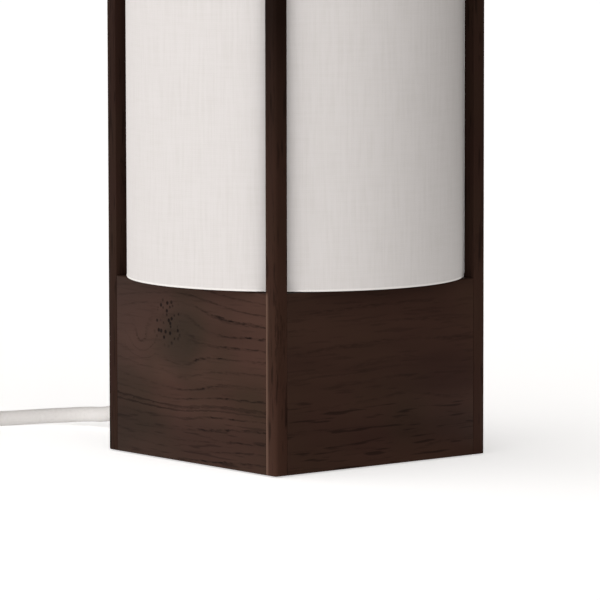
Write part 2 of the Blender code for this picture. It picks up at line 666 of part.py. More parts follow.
def make_switch():
    """Two shells that meet at mid height, a rocker on pivots in the upper one, and a boot at each end."""
    switch = empty("switch_axis", (*SWITCH_CENTRE, 0))
    shells = [half_shell("switch_shell_lower", -1, switch), half_shell("switch_shell_upper", 1, switch)]
    entry = cylinder("cord_entry", spigot_radius + FIT, 2 * SWITCH_LENGTH, steel, SMALL_STEPS,
                     location=(0, 0, switch_middle), turn=(0, math.pi / 2, 0), parent=switch)
    as_cutter(entry)
    for shell in shells:
        cut(shell, entry)
    for name, end, way in (("in", switch_in, 1), ("out", switch_out, -1)):
        make_boot(f"switch_boot_{name}", (end, SWITCH_CENTRE[1], switch_middle), (0, way * math.pi / 2, 0))

    upper = shells[1]
    pivot, across = (0, 0, pivot_height), (math.pi / 2, 0, 0)
    window_half = ROCKER_WIDTH / 2 + FIT
    for name, way in (("near", -1), ("far", 1)):
        ear_height = SWITCH_HEIGHT - SWITCH_WALL / 2 - EAR_DROP / 2
        ear_middle = (0, way * (window_half + EAR_WIDTH / 2), ear_height)
        ear_size = (EAR_LENGTH, EAR_WIDTH, EAR_DROP)
        ear = box(f"ear_{name}", ear_size, white_plastic, ear_middle, parent=switch)
        cut(upper, as_cutter(ear), operation="UNION")
    window_size = (2 * (ROCKER_RADIUS + 2 * FIT), 2 * window_half, SWITCH_HEIGHT)
    window = box("rocker_window", window_size, white_plastic, (0, 0, SWITCH_HEIGHT), parent=switch)
    hole_length = 2 * (window_half + EAR_WIDTH + FIT)
    pivot_hole = cylinder("pivot_hole", PIVOT_RADIUS + FIT, hole_length, steel, PIN_STEPS,
                          location=pivot, turn=across, parent=switch)
    cut(upper, as_cutter(window), as_cutter(pivot_hole))

    rocker = plate("switch_rocker", rocker_outline(), ROCKER_WIDTH, white_plastic, location=pivot,
                   turn=(math.pi / 2, ROCKER_TILT, 0), parent=switch)
    pins = cylinder("rocker_pins", PIVOT_RADIUS, ROCKER_WIDTH + 2 * PIVOT_LENGTH, white_plastic, PIN_STEPS,
                    location=pivot, turn=across, parent=switch)
    cut(rocker, as_cutter(pins), operation="UNION")


def rocker_outline(points=5):
    """Side view about the pivot: two ends that are arcs of the rocker's radius, and a shallow V on top."""
    sweep = ROCKER_TOP_ANGLE + ROCKER_FOOT_ANGLE
    angles = [-ROCKER_FOOT_ANGLE + sweep * i / (points - 1) for i in range(points)]
    right = [(ROCKER_RADIUS * math.cos(a), ROCKER_RADIUS * math.sin(a)) for a in angles]
    left = [(-x, y) for x, y in reversed(right)]
    return [*right, (0.0, ROCKER_MIDDLE_RISE), *left]


def half_shell(name, up, parent):
    """Half of the switch's housing: a rounded box without the face at mid height, given a wall."""
    height = switch_middle - FIT / 2
    bm = bmesh.new()
    bmesh.ops.create_cube(bm, size=1.0)
    bmesh.ops.scale(bm, vec=(SWITCH_LENGTH, SWITCH_WIDTH, height), verts=bm.verts)
    open_face = [face for face in bm.faces if face.normal.z * up < -0.5]
    bmesh.ops.delete(bm, geom=open_face, context="FACES_ONLY")
    upright = [edge for edge in bm.edges if abs(edge.verts[0].co.z - edge.verts[1].co.z) > height / 2]
    bmesh.ops.bevel(bm, geom=upright, offset=SWITCH_END_RADIUS, segments=5, profile=0.5, affect="EDGES")
    outer_face = [face for face in bm.faces if face.normal.z * up > 0.5]
    bmesh.ops.bevel(bm, geom=outer_face[0].edges[:], offset=SWITCH_EDGE_RADIUS, segments=3, profile=0.5,
                    affect="EDGES")
    mesh = bpy.data.meshes.new(name)
    bm.to_mesh(mesh)
    bm.free()
    shell = place(name, mesh, white_plastic, (0, 0, switch_middle + up * (FIT + height) / 2), parent=parent)
    wall = shell.modifiers.new("shell_wall", "SOLIDIFY")
    wall.thickness = SWITCH_WALL
    wall.offset = -1.0
    return shell


def make_plug():
    """Flat two-pin plug lying on the floor, narrow at its rear, where the cord's boot goes in."""
    front, rear = PLUG_WIDTH / 2, PLUG_REAR_WIDTH / 2
    right = [(front, -PLUG_LENGTH), (front, PLUG_SHOULDER - PLUG_LENGTH), (rear, 0.0)]
    outline = right + [(-x, y) for x, y in reversed(right)]
    rest = (*PLUG_REAR, plug_middle)
    body = plate("plug_body", outline, PLUG_HEIGHT, white_plastic, location=rest)
    bevel(body, PLUG_EDGE)
    backward = (-math.pi / 2, 0, 0)
    socket_depth = 2 * (BOOT_SPIGOT_LENGTH + FIT)
    socket = cylinder("plug_socket", spigot_radius + FIT, socket_depth, steel, SMALL_STEPS,
                      location=rest, turn=backward)
    cut(body, as_cutter(socket))
    make_boot("plug_boot", rest, backward)
    pin = [(0, 0), (PIN_RADIUS, 0), (PIN_RADIUS, PIN_TIP_RADIUS - PIN_LENGTH),
           (PIN_TIP_RADIUS, -PIN_LENGTH), (0, -PIN_LENGTH)]
    for name, way in (("left", -1), ("right", 1)):
        pin_place = (PLUG_REAR[0] + way * PIN_SPACING / 2, PLUG_REAR[1] - PLUG_LENGTH - FIT, plug_middle)
        turned(f"plug_pin_{name}", pin, brass, PIN_STEPS, location=pin_place, turn=backward)


make_frame()
make_shade()
make_base()
make_lampholder()
make_bulb()
make_gland()
make_cord()
make_switch()
make_plug()
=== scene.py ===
import math

import bpy
import numpy as np
from mathutils import Matrix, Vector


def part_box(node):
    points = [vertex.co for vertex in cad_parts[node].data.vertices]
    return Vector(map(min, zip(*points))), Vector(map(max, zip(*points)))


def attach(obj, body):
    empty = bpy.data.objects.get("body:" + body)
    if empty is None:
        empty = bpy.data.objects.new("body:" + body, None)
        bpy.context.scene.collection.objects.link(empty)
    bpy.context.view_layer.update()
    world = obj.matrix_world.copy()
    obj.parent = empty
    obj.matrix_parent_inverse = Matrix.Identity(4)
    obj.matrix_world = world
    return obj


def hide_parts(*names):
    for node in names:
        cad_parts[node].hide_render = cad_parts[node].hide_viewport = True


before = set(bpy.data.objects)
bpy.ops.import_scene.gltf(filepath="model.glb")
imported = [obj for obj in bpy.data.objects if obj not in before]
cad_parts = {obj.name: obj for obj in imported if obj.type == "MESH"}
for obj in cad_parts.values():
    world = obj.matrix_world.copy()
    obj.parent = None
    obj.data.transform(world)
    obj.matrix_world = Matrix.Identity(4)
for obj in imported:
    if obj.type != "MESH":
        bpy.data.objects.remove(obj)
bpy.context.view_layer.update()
scene = bpy.context.scene
scene.view_settings.view_transform = "Standard"
print("frame loaded:", len(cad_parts), "nodes")


# Camera: a long lens that looks a little down on the lamp's front left corner
cameraSet = {
    "place": (-1.45277, -1.78674, 0.30966),
    "turn": -39.1674, "down": 5.8327, "roll": -0.1031,  # degrees
    "lens": 286.586, "sensor": 36.0,
}
camera = bpy.data.objects.new("camera", bpy.data.cameras.new("camera"))
scene.collection.objects.link(camera)
camera.data.lens, camera.data.sensor_width = cameraSet["lens"], cameraSet["sensor"]
camera.matrix_world = (
    Matrix.Translation(cameraSet["place"])
    @ Matrix.Rotation(math.radians(cameraSet["turn"]), 4, "Z")
    @ Matrix.Rotation(math.radians(90 - cameraSet["down"]), 4, "X")
    @ Matrix.Rotation(math.radians(cameraSet["roll"]), 4, "Z")
)
scene.camera = camera
print("camera placed")


# Colours are written as sRGB hex and used as linear
def linear(colour):
    parts = np.array([int(colour[i:i + 2], 16) for i in (1, 3, 5)]) / 255
    return (*np.where(parts <= 0.04045, parts / 12.92, ((parts + 0.055) / 1.055) ** 2.4), 1.0)


# Sets a node's inputs by number or name, and links those that come from another node
def fillInputs(tree, node, inputs):
    for key, value in inputs.items():
        if isinstance(value, bpy.types.NodeSocket):
            tree.links.new(value, node.inputs[key])
        else:
            node.inputs[key].default_value = value


# Adds one node and gives back one of its outputs. A kind may end in its operation, a list fills the inputs
# in order, and stops are a ramp's two colours
def addNode(tree, kind, inputs=(), out=0, stops=(), **settings):
    kind, *operation = kind.split(".")
    made = tree.nodes.new("ShaderNode" + kind)
    if operation:
        made.operation = operation[0]
    for key, value in settings.items():
        setattr(made, key, value)
    for element, (place, colour) in zip(made.color_ramp.elements if stops else (), stops):
        element.position, element.color = place, linear(colour)
    fillInputs(tree, made, inputs if isinstance(inputs, dict) else dict(enumerate(inputs)))
    return made.outputs[out]


smooth = {"interpolation_type": "SMOOTHSTEP"}  # a map range that eases in and out

# Light: a white tent that glows on the camera's left and through the table from below, and is dim on the
# right. Behind the lamp a second glow stays under the table's edge, so that it throws no shadow on the table.
# A side is degrees to the right of the camera, seen from the lamp, an edge is where a glow fades, as a cosine
# from its side, and a rise is where the tent's brightness changes with height, as a sine
tentSet = {"side": -44, "edge": (-0.165, 0.0), "dim": 0.065, "tint": "#fffcfa", "dimTint": "#fff1e2",
           "below": 0.8, "level": 2.0, "above": 0.85, "lowRise": (-0.5, 0.0), "highRise": (0.1, 0.6),
           "behind": 175, "behindEdge": (0.6, 1.0), "behindGlow": 1.3, "behindRise": (-0.05, 0.15)}
scene.world = bpy.data.worlds.new("studioTent")
scene.world.use_nodes = True
tent = scene.world.node_tree
gaze = addNode(tent, "TexCoord", out="Generated")
rise = addNode(tent, "SeparateXYZ", [gaze], "Z")


def towards(side):
    heading = math.radians(cameraSet["turn"] - 90 + side)
    return np.array((math.cos(heading), math.sin(heading), 0))


glows = []
for side, edge, dim, bright in ((tentSet["side"], tentSet["edge"], tentSet["dim"], 1.0),
                                (tentSet["behind"], tentSet["behindEdge"], 0.0, tentSet["behindGlow"])):
    faced = addNode(tent, "VectorMath.DOT_PRODUCT", [gaze, towards(side)], "Value")
    glows.append(addNode(tent, "MapRange", [faced, *edge, dim, bright], **smooth))
underEdge = addNode(tent, "MapRange", [rise, *tentSet["behindRise"], 1.0, 0.0], **smooth)
facing = addNode(tent, "Math.MULTIPLY_ADD", [glows[1], underEdge, glows[0]])
upper = addNode(tent, "MapRange", [rise, *tentSet["highRise"], tentSet["level"], tentSet["above"]], **smooth)
dimmer = tentSet["below"] - tentSet["level"]
lower = addNode(tent, "MapRange", [rise, *tentSet["lowRise"], dimmer, 0.0], **smooth)
glow = addNode(tent, "Math.ADD", [upper, lower])
glow = addNode(tent, "Math.MULTIPLY", [glow, facing])
tints = linear(tentSet["dimTint"]), linear(tentSet["tint"])
tone = addNode(tent, "Mix", {0: facing, 6: tints[0], 7: tints[1]}, 2, data_type="RGBA")
fillInputs(tent, tent.nodes["Background"], {"Color": tone, "Strength": glow})
# the table's own glow beside the lamp's dark side, which lightens the shade's lower right
tableSet = {"side": 90, "reach": 0.162, "height": 0.001, "size": 0.1, "power": 0.06}
tableGlow = bpy.data.objects.new("tableGlow", bpy.data.lights.new("tableGlow", "AREA"))
tableGlow.data.size, tableGlow.data.energy = tableSet["size"], tableSet["power"]
tableGlow.location = tableSet["reach"] * towards(tableSet["side"]) + (0, 0, tableSet["height"])
tableGlow.rotation_euler = (math.pi, 0, 0)  # shines upwards
tableGlow.visible_camera = False
scene.collection.objects.link(tableGlow)
print("light set")


# A material whose even values stand on the shader's own sockets
def newMaterial(name, **sockets):
    made = bpy.data.materials.new(name)
    made.use_nodes = True
    shader = made.node_tree.nodes["Principled BSDF"]
    fillInputs(made.node_tree, shader, {key.replace("_", " "): value for key, value in sockets.items()})
    return made, made.node_tree, shader


# Puts a grid of points (rows x columns x 3) into a mesh object and fits it to the frame. The columns
# always close on themselves. The rows do in a ring, and otherwise the first and last row are closed with a
# fan to their middle. uv is the length run at each row and at each column, and rowFinish is the number of
# each row's material
def addPiece(name, points, materials, slot, *nodes, body="lamp", ring=False, uv=None, rowFinish=None,
             sharp=38):
    rows, cols = points.shape[:2]
    spans = rows if ring else rows - 1
    i, j = (n.ravel() for n in np.meshgrid(np.arange(spans), np.arange(cols), indexing="ij"))
    # the row and column of each quad's corners
    at = np.stack([(i, j), (i, j + 1), (i + 1, j + 1), (i + 1, j)]).transpose(2, 0, 1)
    verts = points.reshape(-1, 3)
    finish = np.zeros(spans, int) if rowFinish is None else np.asarray(rowFinish)
    faces, places, finishes = [at[..., 0] % rows * cols + at[..., 1] % cols], [at], [finish[i]]
    k = np.arange(cols)
    for row in () if ring else (0, rows - 1):
        ahead, behind = (k, k + 1) if row else (k + 1, k)
        start = row * cols
        faces.append(np.stack([np.full(cols, len(verts)), start + ahead % cols, start + behind % cols], 1))
        places.append(np.stack([np.full((3, cols), row), [k, ahead, behind]]).transpose(2, 1, 0))
        finishes.append(np.full(cols, finish[-1 if row else 0]))
        verts = np.vstack([verts, points[row].mean(0)])
    triangles = np.concatenate([f[:, [0, n, n + 1]] for f in faces for n in range(1, f.shape[1] - 1)])
    first, second, third = verts[triangles].transpose(1, 0, 2)
    if np.einsum("ij,ij->", first, np.cross(second, third)) < 0:  # inside out, so every face is turned round
        faces, places = [f[:, ::-1] for f in faces], [p[:, ::-1] for p in places]
    mesh = bpy.data.meshes.new(name)
    mesh.from_pydata(verts.tolist(), [], [f for block in faces for f in block.tolist()])
    for material in materials:
        mesh.materials.append(material)
    mesh.polygons.foreach_set("material_index", np.concatenate(finishes).astype(np.int32))
    if uv is not None:
        place = np.concatenate([p.reshape(-1, 2) for p in places])
        lengths = np.stack([uv[1][place[:, 1]], uv[0][place[:, 0]]], 1)
        mesh.uv_layers.new(name="lengths").data.foreach_set("uv", lengths.astype(np.float32).ravel())
    mesh.shade_smooth()
    mesh.set_sharp_from_angle(angle=math.radians(sharp))
    made = bpy.data.objects.new(name, mesh)
    scene.collection.objects.link(made)
    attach(made, body)
    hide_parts(*nodes)
    return made


# Angles once round
def circle(steps):
    return np.linspace(0, 2 * np.pi, steps, endpoint=False)


# 0 before the start, 1 past the end and straight between them, either way round
def ramp(value, start, end):
    return np.clip((value - start) / (end - start), 0, 1)


def easeInOut(t):
    return 3 * t**2 - 2 * t**3


def unit(vectors):
    return vectors / np.linalg.norm(vectors, axis=1, keepdims=True)


# The length run along a line, at each of its points
def runAlong(line):
    return np.concatenate([[0], np.cumsum(np.linalg.norm(np.diff(line, axis=0), axis=1))])


# Points one spacing apart along a line
def evenly(line, spacing):
    run = runAlong(line)
    at = np.linspace(0, run[-1], max(2, round(run[-1] / spacing) + 1))
    return np.stack([np.interp(at, run, line[:, n]) for n in range(3)], 1)


# A Catmull-Rom curve through a route's stops
def smoothRoute(stops, steps=40):
    stops = np.asarray(stops, float)
    stops = np.vstack([2 * stops[0] - stops[1], stops, 2 * stops[-1] - stops[-2]])
    before, start, end, after = (stops[n:len(stops) - 3 + n, None] for n in range(4))
    t = np.linspace(0, 1, steps, endpoint=False)[None, :, None]
    curve = start + 0.5 * ((end - before) * t + (2 * before - 5 * start + 4 * end - after) * t**2
                           + (3 * start - before - 3 * end + after) * t**3)
    return np.vstack([curve.reshape(-1, 3), stops[-2:-1]])


# Rounds a profile's corners: each gives way to a curve that starts and ends at the radius from it, or just
# short of the middle of a shorter side
def eased(profile, radius, steps=5, closed=False):
    corner = np.asarray(profile, float)
    toBefore, toAfter = np.roll(corner, 1, 0) - corner, np.roll(corner, -1, 0) - corner
    runBefore, runAfter = (np.linalg.norm(run, axis=1, keepdims=True) for run in (toBefore, toAfter))
    reach = np.minimum(radius, 0.48 * np.minimum(runBefore, runAfter))
    start, end = corner + toBefore / runBefore * reach, corner + toAfter / runAfter * reach
    t = np.linspace(0, 1, steps)[None, :, None]
    curve = start[:, None] * (1 - t) ** 2 + 2 * corner[:, None] * t * (1 - t) + end[:, None] * t**2
    if closed:
        return curve.reshape(-1, 2)
    return np.vstack([corner[:1], curve[1:-1].reshape(-1, 2), corner[-1:]])


# A turned surface: each row has a height on the axis, and a radius that may change round the circle
def turnedPoints(radius, height, steps, centre=(0, 0, 0), axis=(0, 0, 1), side=(1, 0, 0)):
    angle = circle(steps)
    axis, side = np.array(axis, float), np.array(side, float)
    ring = np.cos(angle)[:, None] * side + np.sin(angle)[:, None] * np.cross(axis, side)
    radius = np.broadcast_to(np.asarray(radius, float).reshape(len(height), -1), (len(height), steps))
    return np.array(centre) + radius[..., None] * ring + np.asarray(height, float)[:, None, None] * axis


# Outlines of rectangles with rounded corners, one for each size: a quarter circle at each corner
def outline(halfX, halfY, radius, steps=9):
    turn = np.arange(4)[:, None] * np.pi / 2 + np.linspace(0, np.pi / 2, steps)
    signX, signY = np.array((1, -1, -1, 1))[:, None], np.array((1, 1, -1, -1))[:, None]
    halfX, halfY = np.reshape(halfX, (-1, 1, 1)), np.reshape(halfY, (-1, 1, 1))
    radius = np.reshape(radius, (len(halfX), -1, 1))
    points = np.stack([signX * (halfX - radius) + radius * np.cos(turn),
                       signY * (halfY - radius) + radius * np.sin(turn)], -1)
    return points.reshape(len(halfX), -1, 2)


# Stations along a piece whose two ends are quarter circles, and how far each station is drawn in
def roundEnds(low, high, edge, steps=5):
    t = np.linspace(0, np.pi / 2, steps)
    bow, drawIn = edge * (1 - np.cos(t)), edge * (1 - np.sin(t))
    return np.concatenate([low + bow, high - bow[::-1]]), np.concatenate([drawIn, drawIn[::-1]])


toMm = (1000, 1000, 1000)
waveScale = math.pi / 10  # a wave texture's scale for bands 1 mm apart

# Braided cotton over the flex: off-white, matt, two sets of strands that cross at the cord's own slant. A
# strand is 2.4 mm wide and has three threads, so a thread is 0.8 mm, and the fuzz on it is 1.4 mm across
cordSet = {"diameter": 0.0077, "carriers": 10, "relief": 0.00016, "thread": 0.8, "slant": 45,
           "fuzzScale": 0.7, "colour": "#e8e6e4", "shadow": "#d9d6d4"}


def braidedCotton():
    made, tree, shader = newMaterial("braidedCotton", Roughness=0.85, Sheen_Weight=0.15, Sheen_Roughness=0.5)
    place = addNode(tree, "UVMap", uv_map="lengths")
    turn = (0, 0, math.radians(cordSet["slant"]))
    slant = addNode(tree, "Mapping", {"Vector": place, "Rotation": turn, "Scale": toMm})
    bands = {"Vector": slant, "Scale": waveScale / cordSet["thread"], "Distortion": 0.6}
    threads, crossing = (addNode(tree, "TexWave", bands, "Fac", bands_direction=way) for way in "XY")
    weave = addNode(tree, "Math.MULTIPLY", [threads, crossing])
    mm = addNode(tree, "Mapping", {"Vector": place, "Scale": toMm})
    fuzz = addNode(tree, "TexNoise", {"Vector": mm, "Scale": cordSet["fuzzScale"], "Detail": 4}, "Fac")
    tone = addNode(tree, "Math.MULTIPLY_ADD", [weave, 0.55, fuzz])
    colour = addNode(tree, "ValToRGB", [tone], stops=[(0.15, cordSet["shadow"]), (0.75, cordSet["colour"])])
    bump = addNode(tree, "Bump", {"Height": tone, "Strength": 0.35, "Distance": 0.0002})
    fillInputs(tree, shader, {"Base Color": colour, "Normal": bump})
    return made


# A round cord: a ring carried along the path, level because the path never stands upright. Its radius dips
# where two crossing sets of strands leave a braid's gaps: relief times half of
# 1 - cos(first) cos(second)
def braidedCord(name, path, perStrand, *nodes):
    radius, strands = cordSet["diameter"] / 2, cordSet["carriers"]
    width = 2 * np.pi * radius / strands  # a strand's width round the cord
    sides = strands * perStrand
    path = evenly(path, width / perStrand)
    along = unit(np.gradient(path, axis=0))
    across = unit(np.cross(along, (0.0, 0.0, 1.0)))
    up = np.cross(across, along)
    angle, run = circle(sides), runAlong(path)
    uv = (run, radius * np.linspace(0, 2 * np.pi, sides + 1))
    first, second = (strands * angle + way * 2 * np.pi * run[:, None] / width for way in (1, -1))
    radius = radius - cordSet["relief"] / 2 * (1 - np.cos(first) * np.cos(second))
    points = path[:, None] + radius[..., None] * (np.cos(angle)[:, None] * across[:, None]
                                                 + np.sin(angle)[:, None] * up[:, None])
    return addPiece(name, points, [cotton], "cloth_cord", *nodes, uv=uv, sharp=80), path


cotton = braidedCotton()
switchSet = {"centre": (-0.126, 0.176), "halfLength": 0.022, "halfWidth": 0.012, "height": 0.016,
             "split": 0.008, "edge": 0.0022, "corner": 0.006, "lip": 0.0004, "joint": 0.00015}
coilSet = {"centre": (-0.199, 0.124875), "outer": 0.051125, "inner": 0.031875, "low": 0.00515,
           "turnsIn": 2.5, "riseTurns": 0.5, "turnsOut": 2.25}
# dip is the part of the lead's length on which it comes down
leadSet = {"start": -0.1445, "dip": (0.43, 0.98), "steps": 60}
toSwitch = [
    (0, 0.0522, 0.0166), (0, 0.065, 0.0166), (0, 0.0833, 0.0166), (0, 0.0933, 0.0166),
    (-0.0014, 0.1050, 0.0157), (-0.0051, 0.1160, 0.0130), (-0.0098, 0.1263, 0.0093),
    (-0.0144, 0.1361, 0.0067), (-0.0166, 0.1441, 0.0061), (-0.0201, 0.1506, 0.0056),
    (-0.0248, 0.1561, 0.0051), (-0.0303, 0.1606, 0.0048), (-0.0407, 0.1671, 0.0043),
    (-0.0527, 0.1729, 0.0040), (-0.0640, 0.1753, 0.0051), (-0.0735, 0.176, 0.0071), (-0.080, 0.176, 0.008),
    (-0.094, 0.176, 0.008), (-0.1075, 0.176, 0.008),
]
toPlug = [
    (-0.250125, 0.0962, 0.01285), (-0.2488, 0.0850, 0.0123), (-0.2453, 0.0733, 0.0108),
    (-0.2411, 0.0617, 0.0090), (-0.2376, 0.0500, 0.0075), (-0.236, 0.036, 0.00685),
    (-0.236, 0.022, 0.00685), (-0.236, 0.0085, 0.00685),
]


# The coil: a flat spiral in, a rise of one diameter at its inside, and a spiral out on top, turning left
# from the north side to the west. Radius falls one diameter a turn, swings over on a cubic while it rises,
# then grows again
def coilLine(steps=1600):
    outer, inner, riseTurns = coilSet["outer"], coilSet["inner"], coilSet["riseTurns"]
    riseEnd = coilSet["turnsIn"] + riseTurns
    turn = np.linspace(0, riseEnd + coilSet["turnsOut"], steps)
    fall, grow = (inner - outer) / coilSet["turnsIn"], (outer - inner) / coilSet["turnsOut"]
    t = ramp(turn, coilSet["turnsIn"], riseEnd)
    swing = riseTurns * (fall * (t**3 - 2 * t**2 + t) + grow * (t**3 - t**2))
    radius = np.where(t <= 0, outer + fall * turn, inner + swing + grow * np.maximum(turn - riseEnd, 0))
    height = coilSet["low"] + cordSet["diameter"] * easeInOut(t)
    angle = np.pi / 2 + 2 * np.pi * turn
    x, y = coilSet["centre"]
    return np.stack([x + radius * np.cos(angle), y + radius * np.sin(angle), height], 1)


leadStart = np.array((leadSet["start"], switchSet["centre"][1], switchSet["split"]))
leadEnd = np.array((coilSet["centre"][0], switchSet["centre"][1], switchSet["split"]))
leadIn = np.linspace(0, 1, leadSet["steps"])[:, None]
lowered = easeInOut(ramp(leadIn, *leadSet["dip"])) * np.array((0, 0, switchSet["split"] - coilSet["low"]))
lead = leadStart + (leadEnd - leadStart) * leadIn - lowered
lampCord, lampCordPath = braidedCord("cord_lamp_to_switch", smoothRoute(toSwitch), 6, "cord_to_switch")
plugCordLine = np.vstack([lead[:-1], coilLine(), smoothRoute(toPlug)])
plugCord, plugCordPath = braidedCord("cord_switch_to_plug", plugCordLine, 4, "cord_to_coil", "cord_coil",
                                     "cord_to_plug")

# Oak, planed, stained dark brown and oiled: matt, with darker growth lines, open pores drawn out along the
# grain, the swirl of a branch and a cluster of pin knots. Sizes are mm on the board's face, X along the
# grain, Y across it.
# swirl, knot and dots are (x, y, radius) of a branch, a small knot and the pin knots
# spacing and offset are the growth lines', band is where a pair of lines crosses the board, fan is from
# where to where along it the lines come up, and whole is how much of a line is left in its weakest places
# dashes are the heights between which the pores thin out, and foot is how much darker the stain is below them
# fade is where along the board it is darkest, from and to what distance it clears, and how dark it is. On the
# posts this is painted shade: they are drawn lighter at the foot, as if lit from the table, and darkest part
# way up
# the painted edge highlight's size is from and to what distance off the middle it lies: a pale line where a
# post's edge catches the light
# dull, lines, pores and olive are the strengths of the swirl's dark patch, lines, pores and clouds
quarter = math.pi / 2
plainBoard = {"shift": (0, 0, 0), "swirl": (-900, 0, 1), "knot": (-900, 0, 1), "dots": (-900, 0, 1),
              "spacing": 6.3, "offset": 0.0, "band": -900, "fan": (-9000, -8999), "whole": 0.1,
              "dashes": (300, 400), "foot": 0.0, "fade": (-9000, 0, 1, 0), "paintedEdgeHighlight": (-901, -900),
              "dull": 0.2, "lines": 0.45, "pores": 0.5, "olive": 0.25, "gloss": 0.03, "pale": "#3a2821",
              "mid": "#2f1f1a"}
oakBoards = {
    "Left": {"turn": (-quarter, quarter, 0), "shift": (0, 0, 12), "swirl": (-7, 58, 15), "knot": (-38, 59, 9),
             "dots": (-17, 67, 13), "spacing": 5.2, "offset": 0.71, "band": -20.4, "fan": (-22, 12),
             "whole": 0.4, "dashes": (18, 30), "foot": 0.24, "fade": (-62, 0, 44, 0.3), "dull": 0.7,
             "lines": 0.78, "pores": 0.4, "olive": 0.6, "pale": "#48322a", "mid": "#38251e"},
    "Front": {"turn": (-quarter, 0, 0), "shift": (300, 0, 0), "swirl": (315, 20, 12), "spacing": 9.0,
              "offset": 0.2, "band": 30.6, "dashes": (30, 40), "lines": 0.3, "pores": 0.55},
    "Back": {"turn": (-quarter, 2 * quarter, 0), "shift": (700, 5, 40), "swirl": (690, 95, 30),
             "dashes": (20, 50)},
    "Right": {"turn": (-quarter, -quarter, 0), "shift": (1200, 11, 90), "swirl": (1225, -10, 22),
              "offset": 0.7},
    "Rail": {"turn": (-quarter, 0, 0), "shift": (2000, 30, 0), "spacing": 4.0},
    "SideRail": {"turn": (-quarter, quarter, 0), "shift": (2500, 30, 0), "spacing": 4.0},
    # on the posts, fade is painted shade: lighter at the foot, darkest part way up
    "Post": {"turn": (0, quarter, 0), "shift": (0, 0, 500), "spacing": 2.6, "fade": (235, 0, 215, 0.3),
             "gloss": 0.01, "pale": "#35241e", "mid": "#2c1d18"},
    # the front corner post's edge beside the left panel carries a painted highlight
    "CornerPost": {"turn": (0, quarter, 0), "spacing": 2.6, "fade": (235, 20, 165, 0.9), "paintedEdgeHighlight": (58.2, 60.4),
                   "gloss": 0.01, "pale": "#432e26", "mid": "#38251e"},
}
# What all boards share: stains and the painted highlight's colour, then the noises' widths across the grain,
# how much the drawn-out ones are squeezed along it, how far they push a line, the pair of lines, pores, pin
# knots, clouds, and where the painted edge highlight ends and how strong it is
# bare is the colour of the painted highlight, the pale line where a post's edge catches the light
oakSet = {"line": "#140c09", "pore": "#110a08", "patch": "#2a2219", "olive": "#33281d", "bare": "#84695b",
          "slow": 20, "ragged": 1.0, "patchy": 9, "strokes": 0.9, "squeeze": 0.2, "slowPush": 9.0,
          "raggedPush": 1.8, "pairApart": 2.4, "pairWidth": 1.0, "poreWidth": 1.6, "poreSqueeze": 0.085,
          "pinApart": 3.0, "cloud": 45, "paintedHighlightTop": (85, 87), "paintedHighlightShare": 0.4}


